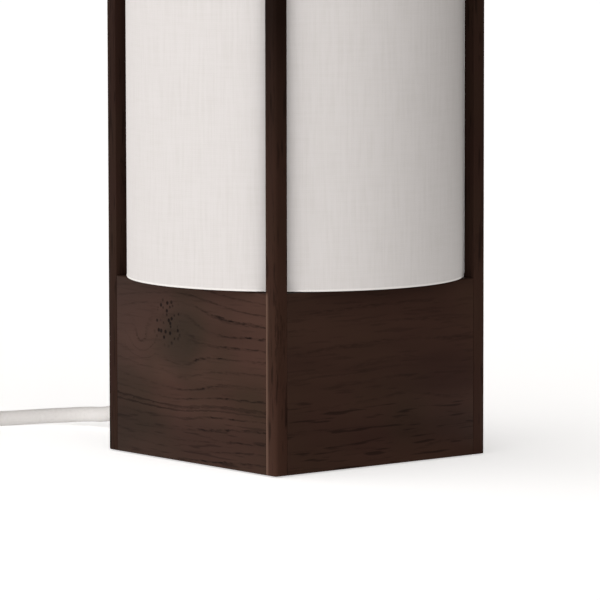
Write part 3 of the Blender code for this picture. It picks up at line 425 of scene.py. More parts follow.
def stainedOak(name, sizes):
    board = {**plainBoard, **sizes}
    made, tree, shader = newMaterial("stainedOak" + name, Specular_IOR_Level=board["gloss"])
    place = addNode(tree, "TexCoord", out="Object")
    grain = addNode(tree, "Mapping", {
        "Vector": place, "Location": board["shift"], "Rotation": board["turn"], "Scale": toMm})
    face = addNode(tree, "Mapping", {"Vector": grain, "Scale": (1, 1, 0)})
    along, height = (addNode(tree, "SeparateXYZ", [grain], axis) for axis in "XY")
    far = {key: addNode(tree, "VectorMath.DISTANCE", [face, (*board[key][:2], 0)], "Value")
           for key in ("swirl", "knot", "dots")}
    # the grain parts round a branch: height times distance squared over distance squared plus radius squared
    level = addNode(tree, "Math.SUBTRACT", [height, board["swirl"][1]])
    for key in ("swirl", "knot"):
        near = addNode(tree, "Math.DIVIDE", [far[key], board[key][2]])
        near = addNode(tree, "Math.MULTIPLY", [near, near])
        more = addNode(tree, "Math.ADD", [near, 1.0])
        clear = addNode(tree, "Math.DIVIDE", [near, more])
        level = addNode(tree, "Math.MULTIPLY", [level, clear])
    knot, swirl = board["knot"][2], board["swirl"][2]
    inKnot = addNode(tree, "MapRange", [far["knot"], 0.0, 1.5 * knot, 1.8 * board["spacing"], 0.0])
    level = addNode(tree, "Math.ADD", [level, inKnot])
    # slow waves, ragged edges, and where lines weaken or break into strokes
    drawn = addNode(tree, "Mapping", {"Vector": grain, "Scale": (oakSet["squeeze"], 1, 1)})
    slow, ragged, patchy, strokes = (
        addNode(tree, "TexNoise", {"Vector": drawn, "Scale": 1 / oakSet[key], "Detail": detail}, "Fac")
        for key, detail in (("slow", 2), ("ragged", 2), ("patchy", 1), ("strokes", 2)))
    level = addNode(tree, "Math.MULTIPLY_ADD", [slow, oakSet["slowPush"], level])
    level = addNode(tree, "Math.MULTIPLY_ADD", [ragged, oakSet["raggedPush"], level])
    # growth lines swell slowly, end sharply and are strongest in the fan and in the knot
    ring = addNode(tree, "Math.MULTIPLY_ADD", [level, 1 / board["spacing"], board["offset"]])
    ring = addNode(tree, "Math.FRACT", [ring])
    line = addNode(tree, "MapRange", [ring, 0.66, 0.88], **smooth)
    end = addNode(tree, "MapRange", [ring, 0.88, 0.97, board["lines"], 0.0], **smooth)
    strength = addNode(tree, "MapRange", [patchy, 0.38, 0.62, board["whole"], 1.0])
    strokes = addNode(tree, "MapRange", [strokes, 0.38, 0.62, 0.2, 1.3])
    fan = addNode(tree, "MapRange", [along, *board["fan"], 0.35, 1.0], **smooth)
    fan = addNode(tree, "Math.MULTIPLY_ADD", [inKnot, 0.06, fan])
    for factor in (end, strength, strokes, fan):
        line = addNode(tree, "Math.MULTIPLY", [line, factor])
    # one pair of stronger lines crosses the whole board
    band = addNode(tree, "Math.SUBTRACT", [level, board["band"]])
    band = addNode(tree, "Math.ABSOLUTE", [band])
    band = addNode(tree, "Math.COMPARE", [band, oakSet["pairApart"] / 2, oakSet["pairWidth"] / 2])
    band = addNode(tree, "Math.MULTIPLY", [band, strength])
    line = addNode(tree, "Math.MULTIPLY_ADD", [band, 0.7 * board["lines"], line], use_clamp=True)
    # pores are dashes, twelve times as long as they are wide
    dash = addNode(tree, "Mapping", {"Vector": grain, "Scale": (oakSet["poreSqueeze"], 1, 1)})
    pores = addNode(tree, "TexNoise", {"Vector": dash, "Scale": 1 / oakSet["poreWidth"], "Detail": 1}, "Fac")
    pores = addNode(tree, "MapRange", [pores, 0.58, 0.7, 0.0, board["pores"]], **smooth)
    thick = addNode(tree, "MapRange", [height, *board["dashes"], 1.0, 0.35], **smooth)
    pores = addNode(tree, "Math.MULTIPLY", [pores, thick])
    # dark pin knots beside the swirl
    pins = addNode(tree, "TexVoronoi", {"Vector": face, "Scale": 1 / oakSet["pinApart"]}, "Distance")
    pins = addNode(tree, "MapRange", [pins, 0.24, 0.4, 0.9, 0.0])
    inDots = addNode(tree, "MapRange", [far["dots"], 0.7 * board["dots"][2], board["dots"][2], 1.0, 0.0])
    pins = addNode(tree, "Math.MULTIPLY", [pins, inDots])
    pores = addNode(tree, "Math.MAXIMUM", [pores, pins])
    # the stain: darker round the swirl, towards one place along the board and at its foot. On the posts the
    # darkening along the board is painted shade, for the table's light falling off up from their foot
    dull = addNode(tree, "MapRange", [far["swirl"], 0.4 * swirl, 1.6 * swirl, board["dull"], 0.0], **smooth)
    darkest, near, clear, dark = board["fade"]
    fade = addNode(tree, "Math.SUBTRACT", [along, darkest])
    fade = addNode(tree, "Math.ABSOLUTE", [fade])
    fade = addNode(tree, "MapRange", [fade, near, clear, dark, 0.0])
    foot = addNode(tree, "MapRange", [height, *board["dashes"], board["foot"], 0.0], **smooth)
    # painted highlight: the post's edge beside the left panel is drawn pale below the panel's top, where its
    # rounded edge catches the light
    paintedEdgeHighlight = addNode(tree, "Math.ABSOLUTE", [height])
    paintedEdgeHighlight = addNode(tree, "MapRange", [paintedEdgeHighlight, *board["paintedEdgeHighlight"], oakSet["paintedHighlightShare"], 0.0], **smooth)
    low = addNode(tree, "MapRange", [along, *oakSet["paintedHighlightTop"], 1.0, 0.0])
    paintedEdgeHighlight = addNode(tree, "Math.MULTIPLY", [paintedEdgeHighlight, low])
    # clouds of a duller, greener brown
    cloud = addNode(tree, "TexNoise", {"Vector": face, "Scale": 1 / oakSet["cloud"], "Detail": 2}, "Fac")
    cloud = addNode(tree, "MapRange", [cloud, 0.4, 0.65, 0.0, board["olive"]])
    colour = addNode(tree, "ValToRGB", [slow], stops=[(0.3, board["pale"]), (0.7, board["mid"])])
    # the last mix lays the painted highlight on the post's edge
    for factor, paint in ((cloud, "olive"), (dull, "patch"), (fade, "line"), (foot, "line"), (line, "line"),
                          (pores, "pore"), (paintedEdgeHighlight, "bare")):
        colour = addNode(tree, "Mix", {0: factor, 6: colour, 7: linear(oakSet[paint])}, 2, data_type="RGBA")
    depth = addNode(tree, "Math.MULTIPLY_ADD", [ragged, 0.25, line])
    depth = addNode(tree, "Math.ADD", [depth, pores])
    bump = addNode(tree, "Bump", {"Height": depth, "Strength": 0.4, "Distance": 0.0002}, invert=True)
    rough = addNode(tree, "MapRange", [depth, 0.0, 1.2, 0.46, 0.7])
    fillInputs(tree, shader, {"Base Color": colour, "Roughness": rough, "Normal": bump})
    return made


# Linen, woven and laminated on a stiff sheet: warm white, dull, threads both ways with slubs that run up
# the drum. Real threads are 0.4 mm apart. They are drawn 0.9 mm apart, as finer ones vanish in the render
linenSet = {"thread": 0.9, "weave": 0.12, "slub": 1.0, "depth": 0.0002,
            "tones": [(0.55, "#cbc8c6"), (1.0, "#d1cecd")]}
# Nylon webbing: dark grey, dull, with ribs that show as small steps. Real ribs are 0.6 mm, drawn twice that
webbingSet = {"thread": 1.2, "weave": 0.3, "slub": 0.4, "depth": 0.0005,
              "tones": [(0.3, "#1b1b1b"), (0.85, "#454545")]}


# Woven cloth on its own lengths: weave and slub are the shares of the threads and of their thick places in
# its height
def wovenCloth(name, cloth, **sockets):
    made, tree, shader = newMaterial(name, **sockets)
    place = addNode(tree, "UVMap", uv_map="lengths")
    mm = addNode(tree, "Mapping", {"Vector": place, "Scale": toMm})
    bands = {"Vector": mm, "Scale": waveScale / cloth["thread"], "Distortion": 0.8, "Detail": 1}
    warp, weft = (addNode(tree, "TexWave", bands, "Fac", bands_direction=way) for way in "XY")
    weave = addNode(tree, "Math.ADD", [warp, weft])
    # slubs are 1.4 mm wide and 17 times as long upwards, and 1.6 mm high and 12 times as long along the cloth
    slubs = []
    for squeeze, width in (((1, 0.06, 1), 1.4), ((0.08, 1, 1), 1.6)):
        drawn = addNode(tree, "Mapping", {"Vector": mm, "Scale": squeeze})
        slubs.append(addNode(tree, "TexNoise", {"Vector": drawn, "Scale": 1 / width, "Detail": 2}, "Fac"))
    slubs = addNode(tree, "Math.MULTIPLY_ADD", [slubs[1], 0.5, slubs[0]])
    slubs = addNode(tree, "Math.MULTIPLY", [slubs, cloth["slub"]])
    tone = addNode(tree, "Math.MULTIPLY_ADD", [weave, cloth["weave"], slubs])
    colour = addNode(tree, "ValToRGB", [tone], stops=cloth["tones"])
    bump = addNode(tree, "Bump", {"Height": tone, "Strength": 0.3, "Distance": cloth["depth"]})
    fillInputs(tree, shader, {"Base Color": colour, "Normal": bump})
    return made


# Birch plywood, sanded and bare: pale, with a faint long grain and dark glue lines 1.25 mm apart at edges
plySet = {"grain": 1.5, "squeeze": 0.05, "ply": 1.25, "dark": "#b89468", "light": "#d8bb8f",
          "glue": "#6e4f30"}


def birchPly():
    made, tree, shader = newMaterial("birchPlywood", Roughness=0.65)
    mm = addNode(tree, "Mapping", {"Vector": addNode(tree, "TexCoord", out="Object"), "Scale": toMm})
    drawn = addNode(tree, "Mapping", {"Vector": mm, "Scale": (plySet["squeeze"], 1, 1)})
    grain = addNode(tree, "TexNoise", {"Vector": drawn, "Scale": 1 / plySet["grain"], "Detail": 4}, "Fac")
    colour = addNode(tree, "ValToRGB", [grain], stops=[(0.3, plySet["dark"]), (0.7, plySet["light"])])
    plies = addNode(tree, "TexWave", {
        "Vector": mm, "Scale": waveScale / plySet["ply"], "Distortion": 0.2}, "Fac", bands_direction="Z")
    glue = addNode(tree, "MapRange", [plies, 0.0, 0.12, 0.7, 0.0])
    colour = addNode(tree, "Mix", {0: glue, 6: colour, 7: linear(plySet["glue"])}, 2, data_type="RGBA")
    bump = addNode(tree, "Bump", {"Height": grain, "Strength": 0.2, "Distance": 0.0001})
    fillInputs(tree, shader, {"Base Color": colour, "Normal": bump})
    return made


# A finish with a fine even grain: colour, gloss and height follow one noise, its grain and height in mm
def grainedFinish(name, dark, light, grain, rough, height, stretch=(1, 1, 1), **sockets):
    made, tree, shader = newMaterial(name, **sockets)
    place = addNode(tree, "TexCoord", out="Object")
    mm = addNode(tree, "Mapping", {"Vector": place, "Scale": [1000 * x for x in stretch]})
    noise = addNode(tree, "TexNoise", {"Vector": mm, "Scale": 1 / grain, "Detail": 3}, "Fac")
    colour = addNode(tree, "ValToRGB", [noise], stops=[(0.3, dark), (0.7, light)])
    gloss = addNode(tree, "MapRange", [noise, 0.3, 0.7, *rough])
    bump = addNode(tree, "Bump", {"Height": noise, "Strength": 0.3, "Distance": height / 1000})
    fillInputs(tree, shader, {"Base Color": colour, "Roughness": gloss, "Normal": bump})
    return made


linen = wovenCloth("linenLaminate", linenSet, Roughness=0.9, Sheen_Weight=0.05, Sheen_Roughness=0.6)
webbing = wovenCloth("nylonWebbing", webbingSet, Roughness=0.75, Sheen_Weight=0.2)
ply = birchPly()
oak = {name: stainedOak(name, sizes) for name, sizes in oakBoards.items()}
# smooth white sheet with a faint gloss
styrene = grainedFinish("styreneLining", "#dedbd6", "#e6e3de", 0.8, (0.35, 0.45), 0.01)
# narrow white edging, woven and without gloss
tape = grainedFinish("cottonTape", "#dedcd9", "#e6e4e2", 0.4, (0.8, 0.9), 0.03)
# plating, bright and greyish
steel = grainedFinish("zincPlatedSteel", "#a9aaa8", "#c9cac8", 0.6, (0.28, 0.42), 0.02, Metallic=1.0)
# steel ring with a white powder coat, half glossy
whiteWire = grainedFinish("coatedWire", "#d5d2cd", "#e4e1dc", 0.5, (0.35, 0.5), 0.02)
# the rough dark skin of a sand casting
iron = grainedFinish("castIron", "#26262a", "#3d3d41", 0.9, (0.55, 0.75), 0.15, Metallic=1.0)
# matted fibres, no gloss
felt = grainedFinish("woolFelt", "#2c2c2c", "#454443", 0.5, (0.92, 1.0), 0.25, Sheen_Weight=0.3)
# turned on a lathe: bright yellow, with fine lines from the tool
brass = grainedFinish("turnedBrass", "#c9a04a", "#dfbd70", 0.25, (0.22, 0.34), 0.01, (1, 0.1, 1),
                      Metallic=1.0)
# glassy white, with a faintly uneven glaze
porcelain = grainedFinish("glazedPorcelain", "#e4e1d9", "#efede6", 1.5, (0.12, 0.2), 0.02)
# white, half matt, with the fine eroded texture of its mould
plastic = grainedFinish("mouldedAbs", "#dad7d2", "#e4e1dc", 0.35, (0.34, 0.46), 0.015)
# thin sheet rolled into a cap, bright and cool
aluminium = grainedFinish("rolledAluminium", "#bfc0c2", "#d6d7d9", 0.4, (0.25, 0.38), 0.01, Metallic=1.0)
# black glass insulator, glossy
vitrite = grainedFinish("blackVitrite", "#0c0c0e", "#1b1b1e", 0.8, (0.12, 0.25), 0.02)
# milk-white blown glass, glossy
opal = grainedFinish("opalGlass", "#eceae6", "#f4f2ee", 3.0, (0.16, 0.24), 0.01, Coat_Weight=0.3)
# grey extruded cable sheath, dull
sheath = grainedFinish("pvcSheath", "#8b8b8a", "#a09f9d", 0.5, (0.45, 0.6), 0.02)
print("materials made")

# Oak frame: posts 7 mm square with one rounded corner, boards of the same thickness between them
boardSet = {"half": 0.065, "inside": 0.058, "gap": 0.0001, "low": 0.0006, "panelTop": 0.0862,
            "railLow": 0.420, "top": 0.430, "edge": 0.0005, "end": 0.0003, "postInside": 0.0578,
            "postEdge": 0.0002, "postCorner": 0.0016, "leastCorner": 0.00005}
sides = {"front": (0, -1), "right": (1, 0), "back": (0, 1), "left": (-1, 0)}
corners = {"front_left": (-1, -1, 2), "front_right": (1, -1, 3), "back_right": (1, 1, 0),
           "back_left": (-1, 1, 1)}


# A board: a rectangle with rounded corners carried along its length, drawn in at its ends on an arc
def boardPoints(low, high, along, radii, edge):
    low, high = np.array(low, float), np.array(high, float)
    across = [n for n in range(3) if n != along]
    station, drawIn = roundEnds(low[along], high[along], edge)
    halfX, halfY = ((high - low)[n] / 2 - drawIn for n in across)
    section = outline(halfX, halfY, np.maximum(radii - drawIn[:, None], boardSet["leastCorner"]), 5)
    points = np.empty((*section.shape[:2], 3))
    points[..., across] = (low + high)[across] / 2 + section
    points[..., along] = station[:, None]
    return points


# The lowest and highest corner, seen from above, of what lies between two distances off the middle
def between(x, y, near, far):
    return np.sort([(x * near, y * near), (x * far, y * far)], axis=0)


for side, (x, y) in sides.items():
    along = 0 if x == 0 else 1
    low, high = between(x, y, boardSet["inside"], boardSet["half"])
    low[along], high[along] = np.array((-1, 1)) * (boardSet["postInside"] - boardSet["gap"])
    radii, railWood = np.full(4, boardSet["edge"]), "SideRail" if along else "Rail"
    for kind, bottom, top, wood in (("panel", boardSet["low"], boardSet["panelTop"], side.title()),
                                    ("rail", boardSet["railLow"], boardSet["top"], railWood)):
        points = boardPoints((*low, bottom), (*high, top), along, radii, boardSet["end"])
        addPiece(f"oak_{kind}_{side}", points, [oak[wood]], "dark_oak", f"{kind}_{side}")
for corner, (x, y, outer) in corners.items():
    radii = np.where(np.arange(4) == outer, boardSet["postCorner"], boardSet["postEdge"])
    low, high = between(x, y, boardSet["postInside"], boardSet["half"])
    points = boardPoints((*low, boardSet["low"]), (*high, boardSet["top"]), 2, radii, boardSet["edge"])
    wood = oak["CornerPost" if corner == "front_left" else "Post"]
    addPiece(f"oak_post_{corner}", points, [wood], "dark_oak", f"post_{corner}")
print("oak frame made")

# Drum shade: a wall with a rolled edge top and bottom and a lapped seam at the back, all turned about Z
shadeSet = {"rim": 0.081724, "wall": 0.08160, "inside": 0.080524, "low": 0.0865, "top": 0.4197,
            "rimHeight": 0.0009, "clear": 0.004, "rows": 24, "round": 0.0005, "seam": 0.012, "lap": 0.0003,
            "lapEdge": 0.0008, "steps": 288}
rim, wall, inside = shadeSet["rim"], shadeSet["wall"], shadeSet["inside"]
low, top, rimHeight = shadeSet["low"], shadeSet["top"], shadeSet["rimHeight"]
straight = np.linspace(low + shadeSet["clear"], top - shadeSet["clear"], shadeSet["rows"])
foot = [(inside, low), (rim, low), (rim, low + rimHeight), (wall, low + 1.5 * rimHeight)]
head = [(r, low + top - z) for r, z in reversed(foot)]
profile = foot + [(wall, z) for z in straight] + head + [(inside, z) for z in straight[::-1]]
reach, height = eased(profile, shadeSet["round"], closed=True).T
outside = reach > (inside + wall) / 2
fromSeam = np.abs(circle(shadeSet["steps"]) - np.pi / 2) * wall
lap = shadeSet["lap"] * ramp(fromSeam, shadeSet["seam"] / 2, shadeSet["seam"] / 2 - shadeSet["lapEdge"])
onRim = outside & ((height < low + rimHeight) | (height > top - rimHeight))
points = turnedPoints(reach[:, None] + lap * outside[:, None], height, shadeSet["steps"])
shade = addPiece("shade_cloth", points, [linen, styrene, tape], "linen", "shade_drum", ring=True, sharp=50,
                 uv=(np.append(height, height[0]), wall * np.linspace(0, 2 * np.pi, shadeSet["steps"] + 1)),
                 rowFinish=np.where(onRim, 2, np.where(outside, 0, 1)))
ringSet = {"radius": 0.0790, "wire": 0.0015, "heights": {"lower": 0.088, "upper": 0.4182}, "steps": (20, 160)}
angle = circle(ringSet["steps"][0])
section = ringSet["wire"] * np.array((np.cos(angle), np.sin(angle)))
for name, height in ringSet["heights"].items():
    points = turnedPoints(ringSet["radius"] + section[0], height + section[1], ringSet["steps"][1])
    addPiece(f"shade_wire_{name}", points, [whiteWire], "steel", f"shade_ring_{name}", ring=True, sharp=80)
print("shade made")

# Lampholder: a cup with a rounded foot, a ribbed sleeve that screws on it, and a porcelain disc with a
# brass contact
holderSet = {"low": 0.0825, "capTop": 0.1045, "radius": 0.0195, "footRadius": 0.015, "footHeight": 0.011,
             "capBore": 0.0173, "stem": 0.0053, "insertLow": 0.0965, "insertRadius": 0.017,
             "insertGap": 0.0003, "contact": 0.0035, "contactTop": 0.1075, "sleeveLow": 0.1048,
             "sleeveTop": 0.1388, "bore": 0.0142, "draft": 0.001, "ribs": 40, "ribDepth": 0.0004,
             "ribStart": (0.14, 0.2), "ribEnd": (0.8, 0.74)}
nearAxis = 0.0004  # a turned piece's first row is this small, and a fan closes it
low, capTop, radius, stem, footRadius, footHeight, capBore = (
    holderSet[key] for key in ("low", "capTop", "radius", "stem", "footRadius", "footHeight", "capBore"))
floorTop = holderSet["insertLow"] - holderSet["insertGap"]
turn = np.linspace(np.pi / 2, 0, 9)
foot = np.stack([footRadius + (radius - footRadius) * np.cos(turn), low + footHeight * (1 - np.sin(turn))], 1)
cup = [(stem, low), *foot, (radius, capTop), (capBore, capTop), (capBore, floorTop), (stem, floorTop)]
cup = eased(cup, 0.0006, closed=True)
points = turnedPoints(cup[:, 0], cup[:, 1], 96)
addPiece("holder_cup", points, [plastic], "white_plastic", "holder_cap", ring=True)
low, top, bore = (holderSet[key] for key in ("sleeveLow", "sleeveTop", "bore"))
rows = np.linspace(0.06, 0.94, 24)
wall = np.stack([radius - holderSet["draft"] * rows, low + (top - low) * rows], 1)
sleeve = [(bore, low), (radius, low), *wall, (radius - holderSet["draft"], top), (bore, top)]
sleeve = eased(sleeve, 0.0005, 4, closed=True)
share = (sleeve[:, 1] - low) / (top - low)
outside = sleeve[:, 0] > (bore + radius) / 2
grip = ramp(share, *holderSet["ribStart"]) * ramp(share, *holderSet["ribEnd"]) * outside
angle = circle(8 * holderSet["ribs"])
ribbed = sleeve[:, :1] - holderSet["ribDepth"] * grip[:, None] * (1 - np.cos(holderSet["ribs"] * angle)) / 2
points = turnedPoints(ribbed, sleeve[:, 1], len(angle))
addPiece("holder_grip", points, [plastic], "white_plastic", "holder_sleeve", ring=True)
insertLow, insertRadius, contact, contactTop = (
    holderSet[key] for key in ("insertLow", "insertRadius", "contact", "contactTop"))
disc = eased([(nearAxis, insertLow), (insertRadius, insertLow), (insertRadius, capTop), (contact, capTop),
              (contact, contactTop), (nearAxis, contactTop)], 0.0005)
onContact = (disc[:-1, 0] <= contact + 0.0001) & (disc[:-1, 1] >= capTop)
points = turnedPoints(disc[:, 0], disc[:, 1], 64)
addPiece("holder_disc", points, [porcelain, brass], "porcelain", "holder_insert",
         rowFinish=onContact.astype(int))

# Bulb: a globe that runs down to its neck on one smooth curve, and a rolled screw cap
bulbSet = {"low": 0.1346, "length": 0.078, "globe": 0.030, "neck": 0.0125, "waist": math.radians(40),
           "crown": 0.03, "capLow": 0.1078, "capTop": 0.1343, "cap": 0.0132, "pitch": 0.0036,
           "thread": 0.0007, "threadLow": 0.006, "collar": 0.003, "tip": 0.0046, "tipHeight": 0.002,
           "glassHeight": 0.0055, "inset": 0.0012}
globe, waist = bulbSet["globe"], bulbSet["waist"]
sweep = np.linspace(np.pi / 2 - bulbSet["crown"], -waist, 40)
profile = np.stack([globe * np.cos(sweep), bulbSet["length"] - globe + globe * np.sin(sweep)], 1)
# the neck: a cubic from the globe's own slope to straight down
t = np.linspace(0, 1, 20)[1:, None]
neckEnd = np.array((bulbSet["neck"], 0))
reach = np.linalg.norm(profile[-1] - neckEnd)
leave, arrive = np.array((-math.sin(waist), -math.cos(waist))) * reach, np.array((0, -reach))
neck = (profile[-1] * (1 - easeInOut(t)) + leave * (t**3 - 2 * t**2 + t) + neckEnd * easeInOut(t)
        + arrive * (t**3 - t**2))
profile = np.vstack([profile, neck])
addPiece("bulb_globe", turnedPoints(profile[:, 0], bulbSet["low"] + profile[:, 1], 96), [opal], "opal_glass",
         "bulb_glass", body="bulb")
# the thread: radius swings once for each pitch of height less the turn's share of it
low, top, cap, inset = (bulbSet[key] for key in ("capLow", "capTop", "cap", "inset"))
threadLow, collar, pitch = low + bulbSet["threadLow"], top - bulbSet["collar"], bulbSet["pitch"]
capHeight = np.append(np.linspace(threadLow, top - inset, 70), top)
angle = circle(72)
turn = (capHeight[:, None] - pitch * angle / (2 * np.pi)) / pitch
fade = ramp(capHeight, threadLow, threadLow + 0.002) * ramp(capHeight, collar, collar - 0.003)
shell = cap - bulbSet["thread"] * fade[:, None] * (0.5 + 0.5 * np.cos(2 * np.pi * turn)) - 0.0001
tip, tipTop, glassTop = bulbSet["tip"], low + bulbSet["tipHeight"], low + bulbSet["glassHeight"]
base = eased([(nearAxis, low), (tip, low), (tip, tipTop), (cap - inset, glassTop)], 0.0006, 4)
radius = np.vstack([np.repeat(base[:, :1], len(angle), 1), shell])
height = np.concatenate([base[:, 1], capHeight])
row = np.arange(len(height) - 1)
onGlass = (row >= len(base) // 2 + 2) & (row < len(base))
points = turnedPoints(radius, height, len(angle))
addPiece("bulb_screw_cap", points, [aluminium, vitrite], "aluminium", "bulb_cap", body="bulb",
         rowFinish=onGlass.astype(int))
print("lampholder and bulb made")

# Reliefs: a cone with slots across it in turn on two sides and the other two, so that it bends with the
# cord. start and end are the cone's, on its axis, and foot is the profile below it
reliefSet = {"bore": 0.00415, "slot": 0.0011, "land": 0.0012, "depth": 0.0009, "flank": 0.00025,
             "skin": 0.0004, "firstSlot": 0.0025, "lastSlot": 0.0018, "open": (0.35, 0.5), "rows": 90,
             "steps": 72}
glandSet = {"height": 0.0166, "face": 0.065, "start": 0.0024, "end": 0.0281, "base": 0.0070, "tip": 0.00515,
            "round": 0.0004, "foot": [(0.00415, -0.0128), (0.0062, -0.0128), (0.0062, 0.0003),
                                      (0.0092, 0.0003), (0.0092, 0.0023), (0.0070, 0.0023)]}
bootSet = {"start": 0.0005, "end": 0.0198, "base": 0.0066, "tip": 0.00515,
           "round": 0.0003, "foot": [(0.00415, -0.0035), (0.00535, -0.0035), (0.00535, 0.0003),
                                     (0.0064, 0.0003)]}


def reliefPoints(sizes, centre, axis, side):
    start, end, tip = sizes["start"], sizes["end"], sizes["tip"]
    bore, slot, land, flank = (reliefSet[key] for key in ("bore", "slot", "land", "flank"))
    steps = reliefSet["steps"]
    along = np.linspace(start, end, reliefSet["rows"])
    cone = sizes["base"] + (tip - sizes["base"]) * (along - start) / (end - start)
    count, into = np.divmod(along - start, slot + land)
    cut = ramp(into, land, land + flank) * ramp(into, land + slot, land + slot - flank)
    cut = cut * (along > start + reliefSet["firstSlot"]) * (along < end - reliefSet["lastSlot"])
    opened = ramp(np.abs(np.cos(circle(steps) + count[:, None] * np.pi / 2)), *reliefSet["open"])
    depth = np.minimum(reliefSet["depth"], cone - bore - reliefSet["skin"])
    foot = eased(sizes["foot"], sizes["round"], 4)
    mouth = np.array([(tip - 0.0002, end + 0.0002), (bore + 0.0003, end + 0.0002), (bore, end - 0.001)])
    radius = np.vstack([np.repeat(foot[:, :1], steps, 1), cone[:, None] - (depth * cut)[:, None] * opened,
                        np.repeat(mouth[:, :1], steps, 1)])
    return turnedPoints(radius, np.concatenate([foot[:, 1], along, mouth[:, 1]]), steps, centre, axis, side)


cordExit = (0, glandSet["face"], glandSet["height"])
points = reliefPoints(glandSet, cordExit, (0, 1, 0), (1, 0, 0))
gland = addPiece("cord_relief", points, [plastic], "white_plastic", "cord_gland")
plugSet = {"rear": (-0.236, 0.012), "middle": 0.00685, "length": 0.036, "width": 0.0353, "rearWidth": 0.016,
           "rearEdge": 0.0016, "frontEdge": 0.0012, "straight": (0.002, 0.0345), "rows": 44, "widenBy": 0.024,
           "corner": 0.0042, "rib": 0.0004, "ribPitch": 0.0024, "ribStart": (0.005, 0.007),
           "ribEnd": (0.017, 0.015)}
boots = {
    "switch_boot_in": ((-0.104, 0.176, 0.008), (1, 0, 0), (0, 1, 0)),
    "switch_boot_out": ((-0.148, 0.176, 0.008), (-1, 0, 0), (0, 1, 0)),
    "plug_boot": ((*plugSet["rear"], plugSet["middle"]), (0, 1, 0), (1, 0, 0)),
}
for node, (centre, axis, across) in boots.items():
    points = reliefPoints(bootSet, centre, axis, across)
    boots[node] = addPiece(node.replace("boot", "relief"), points, [plastic], "white_plastic", node)


# Switch shells: outlines stacked at their heights, from under the rounded edge to the joint, and in the
# upper one from the joint over the edge into the rocker's well
def shellPoints(rings):
    halfX, halfY, radius, height = np.transpose(rings)
    section = outline(halfX, halfY, radius)
    points = np.dstack([section, np.repeat(height[:, None], section.shape[1], 1)])
    return points + (*switchSet["centre"], 0)


arc = np.linspace(0, np.pi / 2, 8)
size = np.array([switchSet[key] for key in ("halfLength", "halfWidth", "corner")])
edge, lip, joint = switchSet["edge"], switchSet["lip"], switchSet["split"] - switchSet["joint"]
lower = [(*(size - edge * (1 - np.sin(a))), edge * (1 - np.cos(a))) for a in arc]
lower += [(*size, joint - lip), (*(size - lip), joint)]
well = [(0.0104, 0.0061, 0.0012, 0.0), (0.0098, 0.0055, 0.0008, 0.0003), (0.0096, 0.0053, 0.0006, 0.0008),
        (0.0096, 0.0053, 0.0006, 0.0074)]  # half length, half width, corner and depth
upper = np.array(lower[::-1] + well) * (1, 1, 1, -1) + (0, 0, 0, switchSet["height"])
lowerShell, upperShell = (
    addPiece(f"switch_half_{name}", shellPoints(rings), [plastic], "white_plastic", f"switch_shell_{name}")
    for name, rings in (("lower", lower), ("upper", upper)))
# Rocker: its side view carried across, drawn in at both flanks. Two round ends and a shallow V between them
rockerSet = {"radius": 0.009, "half": 0.005, "pivot": 0.0146, "middle": 0.0012, "dip": 1.3, "edge": 0.0005,
             "top": 18, "foot": 24, "tilt": 11}  # degrees
ends = np.radians(np.linspace(-rockerSet["foot"], rockerSet["top"], 9))
right = rockerSet["radius"] * np.stack([np.cos(ends), np.sin(ends)], 1)
dip = np.linspace(1, -1, 17)[1:-1]
vee = rockerSet["middle"] + (right[-1, 1] - rockerSet["middle"]) * np.abs(dip) ** rockerSet["dip"]
sideView = np.vstack([right, np.stack([dip * right[-1, 0], vee], 1), right[::-1] * (-1, 1)])
lean = math.radians(rockerSet["tilt"])
sideView = sideView @ np.array([[math.cos(lean), -math.sin(lean)], [math.sin(lean), math.cos(lean)]])
station, drawIn = roundEnds(-rockerSet["half"], rockerSet["half"], rockerSet["edge"])
shrunk = (1 - drawIn / rockerSet["radius"])[:, None, None] * sideView
points = np.stack([shrunk[..., 0], np.repeat(station[:, None], len(sideView), 1), shrunk[..., 1]], -1)
points += (*switchSet["centre"], rockerSet["pivot"])
rocker = addPiece("switch_rocker_key", points, [plastic], "white_plastic", "switch_rocker", body="rocker")

# Plug: rounded sections along Y that widen from the cord to the pins, grip ribs across, two sleeved pins
rearX, rearY = plugSet["rear"]
rearEdge, frontEdge, rows = plugSet["rearEdge"], plugSet["frontEdge"], plugSet["rows"]
deep = np.concatenate([rearEdge * (1 - np.cos(arc)), np.linspace(*plugSet["straight"], rows),
                       plugSet["length"] - frontEdge * (1 - np.cos(arc[::-1]))])
back = np.concatenate([rearEdge * (1 - np.sin(arc)), np.zeros(rows), frontEdge * (1 - np.sin(arc[::-1]))])
share = ramp(deep, 0, plugSet["widenBy"])
widening = (plugSet["width"] - plugSet["rearWidth"]) / 2 * (0.35 * share + 0.65 * easeInOut(share))
ribs = ramp(deep, *plugSet["ribStart"]) * ramp(deep, *plugSet["ribEnd"])
ribs = plugSet["rib"] * ribs * (0.5 - 0.5 * np.cos(2 * np.pi * deep / plugSet["ribPitch"]))
halfX, halfZ = plugSet["rearWidth"] / 2 + widening - back, plugSet["middle"] - back - ribs
section = outline(halfX, halfZ, np.minimum(plugSet["corner"], halfZ - 0.0004))
points = np.stack([section[..., 0], np.repeat(-deep[:, None], section.shape[1], 1), section[..., 1]], -1)
points += (rearX, rearY, plugSet["middle"])
plugBody = addPiece("plug_moulding", points, [plastic], "white_plastic", "plug_body")
pinSet = {"radius": 0.002, "sleeve": 0.0095, "length": 0.019, "apart": 0.0186, "step": 0.00012, "tip": 0.0011,
          "tipLength": 0.0012, "gap": 0.0003}
radius, sleeve, length = pinSet["radius"], pinSet["sleeve"], pinSet["length"]
bare = radius - pinSet["step"]
profile = eased([(radius, 0), (radius, sleeve), (bare, sleeve + 0.0001), (bare, length - pinSet["tipLength"]),
                 (pinSet["tip"], length), (0.0002, length)], 0.0003, 4)
